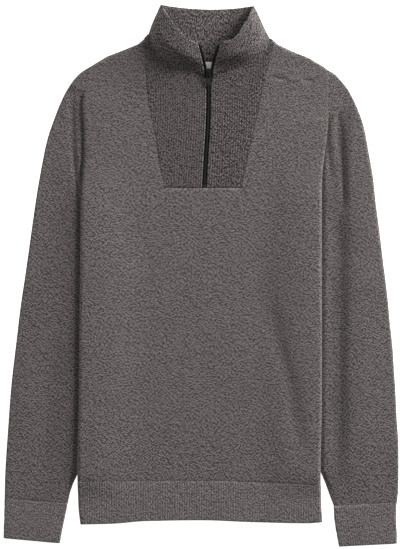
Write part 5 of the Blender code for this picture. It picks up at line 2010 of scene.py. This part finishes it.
@dataclass
class Slider:
    """The zip's slider: two plates joined by a diamond, with a crown over the upper one."""

    length: float = 11.6
    nose: float = 6.4
    width: float = 8.8
    plate: float = 1.2
    gap: float = 2.1
    lower: tuple[float, float, float] = (6.4, 10.4, 0.9)
    diamond: tuple[float, float] = (2.4, 3.4)
    diamond_at: float = 3.0
    crown_width: float = 2.6
    crown_span: float = 7.0
    crown_rise: float = 2.9
    strap: float = 0.9
    crown_at: float = -0.3

    def build(self, place: Matrix, finish: bpy.types.Material) -> None:
        """Builds the slider.

        Args:
            place: Where its own origin goes, in millimetres.
            finish: The piece's material.
        """
        work = MetalWork()
        nose, half, length = self.nose / 2, self.width / 2, self.length / 2
        outline = [(-nose, -length), (nose, -length), (nose + 0.2, -0.1 * length),
                   (half, 0.5 * length), (half - 0.6, length - 0.3), (1.2, length),
                   (0.0, length - 0.9), (-1.2, length), (-half + 0.6, length - 0.3),
                   (-half, 0.5 * length), (-nose - 0.2, -0.1 * length)]
        work.plate(outline, 0.0, self.plate, 0.35, 3)
        width, reach, thick = self.lower
        low = [(-width / 2, -reach / 2), (width / 2, -reach / 2),
               (width / 2 * 1.15, reach / 2), (-width / 2 * 1.15, reach / 2)]
        work.plate(low, -self.gap - thick, -self.gap, 0.25)
        wide, long = self.diamond
        at = self.diamond_at
        core = [(0.0, at - long / 2), (wide / 2, at), (0.0, at + long / 2), (-wide / 2, at)]
        work.plate(core, -self.gap - 0.2, 0.3, 0.1, 1)
        for turn in (-1, 1):
            y = self.crown_at + turn * (self.crown_span - self.strap) / 2
            post = block(self.crown_width, y - self.strap / 2, y + self.strap / 2)
            work.plate(post, self.plate - 0.3, self.plate + self.crown_rise - 0.3, 0.2)
        top = self.plate + self.crown_rise
        reach = self.crown_span / 2
        bar = block(self.crown_width, self.crown_at - reach, self.crown_at + reach)
        work.plate(bar, top - self.strap, top + 0.1, 0.42, 3)
        piece = work.finish("zip_slider_body", place, finish)
        settle(piece, "zip_slider", "zip_slider")


@dataclass
class PullTab:
    """The pull tab, which hangs by its pin from the slider's crown."""

    pin_y: float = -1.9
    pin_z: float = 2.35
    droop: float = 9.0
    width: float = 6.4
    length: float = 17.5
    wall: float = 1.2
    pin: float = 0.6
    arm: float = 1.3
    eye: float = 6.0
    inlay: tuple[float, float] = (3.8, 1.5)

    def build(self, slider_place: Matrix, finish: bpy.types.Material,
              inlay_finish: bpy.types.Material) -> None:
        """Builds the tab and the dark inlay near its end.

        Args:
            slider_place: The place of the slider's own origin.
            finish: The tab's material.
            inlay_finish: The inlay's material.
        """
        pivot = slider_place @ Vector((0.0, self.pin_y, self.pin_z))
        place = Matrix.Translation(pivot) @ Matrix.Rotation(math.radians(self.droop), 4, "X")
        half, eye = self.width / 2, self.width / 2 - self.arm
        rim = [(-half, self.pin), (half, self.pin), (half, -self.eye - 1.0),
               (half, -self.length + 1.5), (half - 1.5, -self.length),
               (-half + 1.5, -self.length), (-half, -self.length + 1.5), (-half, -self.eye - 1.0)]
        hole = [(-eye, -self.pin), (eye, -self.pin), (eye, -self.eye), (-eye, -self.eye)]
        part = bmesh.new()
        upper = [part.verts.new((x, y, self.wall / 2)) for x, y in rim + hole]
        lower = [part.verts.new((x, y, -self.wall / 2)) for x, y in rim + hole]
        flat = ((0, 8, 9, 1), (1, 9, 10, 2), (2, 10, 11, 7), (7, 11, 8, 0), (2, 7, 6, 3),
                (3, 6, 5, 4))
        for face in flat:
            part.faces.new([upper[k] for k in face])
            part.faces.new([lower[k] for k in reversed(face)])
        for a in range(len(rim)):
            b = (a + 1) % len(rim)
            part.faces.new((upper[a], upper[b], lower[b], lower[a]))
        for k in range(len(hole)):
            a, b = len(rim) + k, len(rim) + (k + 1) % len(hole)
            part.faces.new((upper[b], upper[a], lower[a], lower[b]))
        bmesh.ops.recalc_face_normals(part, faces=part.faces)
        MetalWork.soften(part, 0.28, 3)
        work = MetalWork()
        work.take(part)
        piece = work.finish("pull_tab_metal", place, finish)
        settle(piece, "pull_tab", "pull_tab", body="tab")
        dash = MetalWork()
        end = -self.length + 2.0
        width, length = self.inlay
        dash.plate(block(width, end, end + length), self.wall / 2 - 0.2, self.wall / 2 + 0.08,
                   0.12)
        inlay = dash.finish("pull_tab_inlay", place, inlay_finish)
        settle(inlay, "pull_tab", body="tab")


@dataclass
class Label:
    """The small bare label on the inside of the back, below the neck seam."""

    lay: Lay
    width: float = 38.0
    height: float = 15.0
    wall: float = 0.6
    curl: float = 0.35
    clear: float = 0.3
    columns: int = 30
    rows: int = 14
    at: tuple[float, float] = (9.0, 308.6)

    def build(self, finish: bpy.types.Material) -> None:
        """Builds the label.

        Args:
            finish: The piece's material.
        """
        x, y = np.meshgrid(np.linspace(-self.width / 2, self.width / 2, self.columns),
                           np.linspace(-self.height / 2, self.height / 2, self.rows))
        level = self.lay.knit + self.clear + self.wall / 2
        lift = self.curl * (np.abs(x) / (self.width / 2)) ** 3
        points = np.stack((x + self.at[0], y + self.at[1], level + lift), axis=2)
        piece = Sheet(points, self.wall, rim=0.15).build("neck_label_satin", finish)
        settle(piece, "neck_label", "neck_label")


# ---------------------------------------------------------------- sewing

@dataclass
class Linking:
    """The rows of yarn loops that link the knitted pieces."""

    lay: Lay
    pitch: float = 3.6
    reach: float = 1.0
    lean: float = 0.35
    radius: float = 0.42
    hem_span: tuple[float, float] = (-170.0, 168.0)
    hem_sink: float = 0.35
    inset_top: float = 338.0
    inset_sink: float = 0.15
    line_points: int = 200

    def loops(self, line: np.ndarray, name: str, slot: str,
              finish: bpy.types.Material) -> None:
        """Builds a row of loops along a seam.

        Args:
            line: Points along the seam, on top of the cloth.
            name: The piece's name.
            slot: The record's slot of the cloth beside it.
            finish: The yarn's material.
        """
        middle = spaced(line, self.pitch, 0.5)
        run = np.gradient(middle, axis=0)
        run /= np.linalg.norm(run, axis=1, keepdims=True)
        across = np.cross(run, (0.0, 0.0, 1.0))
        starts = middle - across * self.reach - run * self.lean
        ends = middle + across * self.reach + run * self.lean
        points, faces = capsules(starts, ends, self.radius)
        piece = add_piece(name, points * MM, faces, finish)
        settle(piece, slot)

    def hem(self, finish: bpy.types.Material) -> None:
        """Builds the loops along the hem seam.

        Args:
            finish: The yarn's material.
        """
        lay = self.lay
        x = np.linspace(*self.hem_span, self.line_points)
        y = lay.hem_seam(x)
        line = np.stack((x, y, lay.front_level(x, y) + lay.knit / 2 - self.hem_sink), axis=1)
        self.loops(line, "hem_linking", "hem_front_rib", finish)

    def inset(self, side: Side, finish: bpy.types.Material) -> None:
        """Builds the loops along one side seam of the inset.

        Args:
            side: The inset's side.
            finish: The yarn's material.
        """
        lay = self.lay
        y = np.linspace(lay.inset_bottom, self.inset_top, 120)
        x = lay.inset_edge[side](y)
        line = np.stack((x, y, lay.front_level(x, y) + lay.knit / 2 - self.inset_sink), axis=1)
        self.loops(line, f"inset_linking_{side.word}", f"inset_{side.word}_rib", finish)


# ---------------------------------------------------------------- studio

class Lamp(NamedTuple):
    """A soft square light that points at the garment's middle."""

    name: str
    at: tuple[float, float, float]
    size: float
    power: float
    colour: tuple[float, float, float] = (1.0, 1.0, 1.0)


@dataclass
class Studio:
    """The camera straight above, a pale floor, and soft light."""

    camera_at: tuple[float, float, float] = (-0.0016, 0.0012, 4.522)
    lens: float = 200.0
    sensor: float = 36.0
    clip_end: float = 50.0
    floor_size: float = 14.0
    floor_level: float = -0.0004
    world_light: float = 0.2
    lamps: tuple[Lamp, ...] = (
        Lamp("key_light", (3.4, 2.7, 1.2), 1.9, 600.0, (1.0, 0.99, 0.98)),
        Lamp("side_light", (-3.8, 2.6, 1.4), 2.2, 110.0),
        Lamp("top_light", (0.2, 0.2, 5.4), 2.2, 44.0))

    def camera(self) -> None:
        """Makes the camera."""
        data = bpy.data.cameras.new("camera")
        data.lens = self.lens
        data.sensor_width = self.sensor
        data.clip_end = self.clip_end
        camera = bpy.data.objects.new("camera", data)
        camera.location = self.camera_at
        bpy.context.collection.objects.link(camera)
        bpy.context.scene.camera = camera

    @staticmethod
    def hang(lamp: Lamp) -> None:
        """Adds a light.

        Args:
            lamp: What the light is like.
        """
        data = bpy.data.lights.new(lamp.name, "AREA")
        data.size = lamp.size
        data.energy = lamp.power
        data.color = lamp.colour
        light = bpy.data.objects.new(lamp.name, data)
        light.location = lamp.at
        light.rotation_euler = (-Vector(lamp.at)).to_track_quat("-Z", "Y").to_euler()
        light.visible_camera = False
        bpy.context.collection.objects.link(light)

    def light(self) -> None:
        """Makes the world and the lights."""
        world = bpy.data.worlds.new("studio")
        world.use_nodes = True
        background = world.node_tree.nodes["Background"]
        background.inputs["Color"].default_value = (1.0, 1.0, 1.0, 1.0)
        background.inputs["Strength"].default_value = self.world_light
        bpy.context.scene.world = world
        bpy.context.scene.view_settings.view_transform = "Standard"
        for lamp in self.lamps:
            self.hang(lamp)

    def floor(self, finish: bpy.types.Material) -> None:
        """Makes the floor.

        Args:
            finish: Its material.
        """
        half = self.floor_size / 2
        corners = np.array([(-half, -half, 0), (half, -half, 0), (half, half, 0),
                            (-half, half, 0)]) + (0, 0, self.floor_level)
        floor = add_piece("floor", corners, [[0, 1, 2, 3]], finish)


# ---------------------------------------------------------------- the sweater


def main() -> None:
    """Builds the sweater and its studio."""
    logging.basicConfig(level=logging.INFO, format="%(name)s: %(message)s")
    studio = Studio()
    studio.camera()
    studio.light()
    studio.floor(FloorFinish().make())

    lay = Lay()
    yarn = YarnFinish("melange_knit").make()
    # Painted shade: the sleeves take a darker copy of the body's yarn, for the shade that falls on
    # them beside the raised body.
    painted_shade_sleeve_yarn = YarnFinish("melange_sleeve_painted_shade", (0.088, 0.0775, 0.0765), streak=9.0).make()
    # The rib yarns paint shade into the troughs between their ribs.
    rib_yarn = YarnFinish("melange_rib", (0.118, 0.105, 0.104), 0.64, wale=1.8, streak=3.0,
                          rib_pitch=3.6).make()
    cuff_yarn = YarnFinish("melange_cuff", (0.116, 0.103, 0.102), 0.64, wale=1.7, streak=3.0,
                           rib_pitch=3.4).make()
    collar_yarn = YarnFinish("melange_collar", (0.084, 0.074, 0.073), 0.9, wale=1.75, streak=3.0,
                             rib_pitch=3.5).make()
    inset_yarn = YarnFinish("melange_inset", (0.073, 0.064, 0.063), 0.95, wale=1.8, streak=3.0,
                            rib_pitch=3.6, trough=0.2).make()
    tape = TapeFinish("zip_tape_black").make()
    coil = MetalFinish("zip_coil_black", shade=(0.005, 0.005, 0.0055), roughness=0.7,
                       metallic=0.0).make()
    metal = MetalFinish("zip_metal_dark").make()
    satin = LabelFinish("label_satin").make()

    body = Body(lay)
    body.back(yarn)
    body.front(yarn)
    for layer in Layer:
        body.hem(layer, rib_yarn)
    for side in Side:
        Sleeve(lay, side).build(painted_shade_sleeve_yarn)
        Cuff(lay, side).build(cuff_yarn)
    collar = Collar(lay)
    collar.build(collar_yarn)
    zip_line = Zip(lay)
    for side in Side:
        Inset(lay, side).build(zip_line, collar, inset_yarn)
        zip_line.tape(side, collar, tape)
        zip_line.open_teeth(side, collar, coil)
    zip_line.chain(collar, coil)
    zip_line.stop(metal)
    place = zip_line.slider_place(collar)
    Slider().build(place, metal)
    PullTab().build(place, metal, coil)
    Label(lay).build(satin)
    linking = Linking(lay)
    linking.hem(yarn)
    for side in Side:
        linking.inset(side, inset_yarn)


if __name__ == "__main__":
    main()
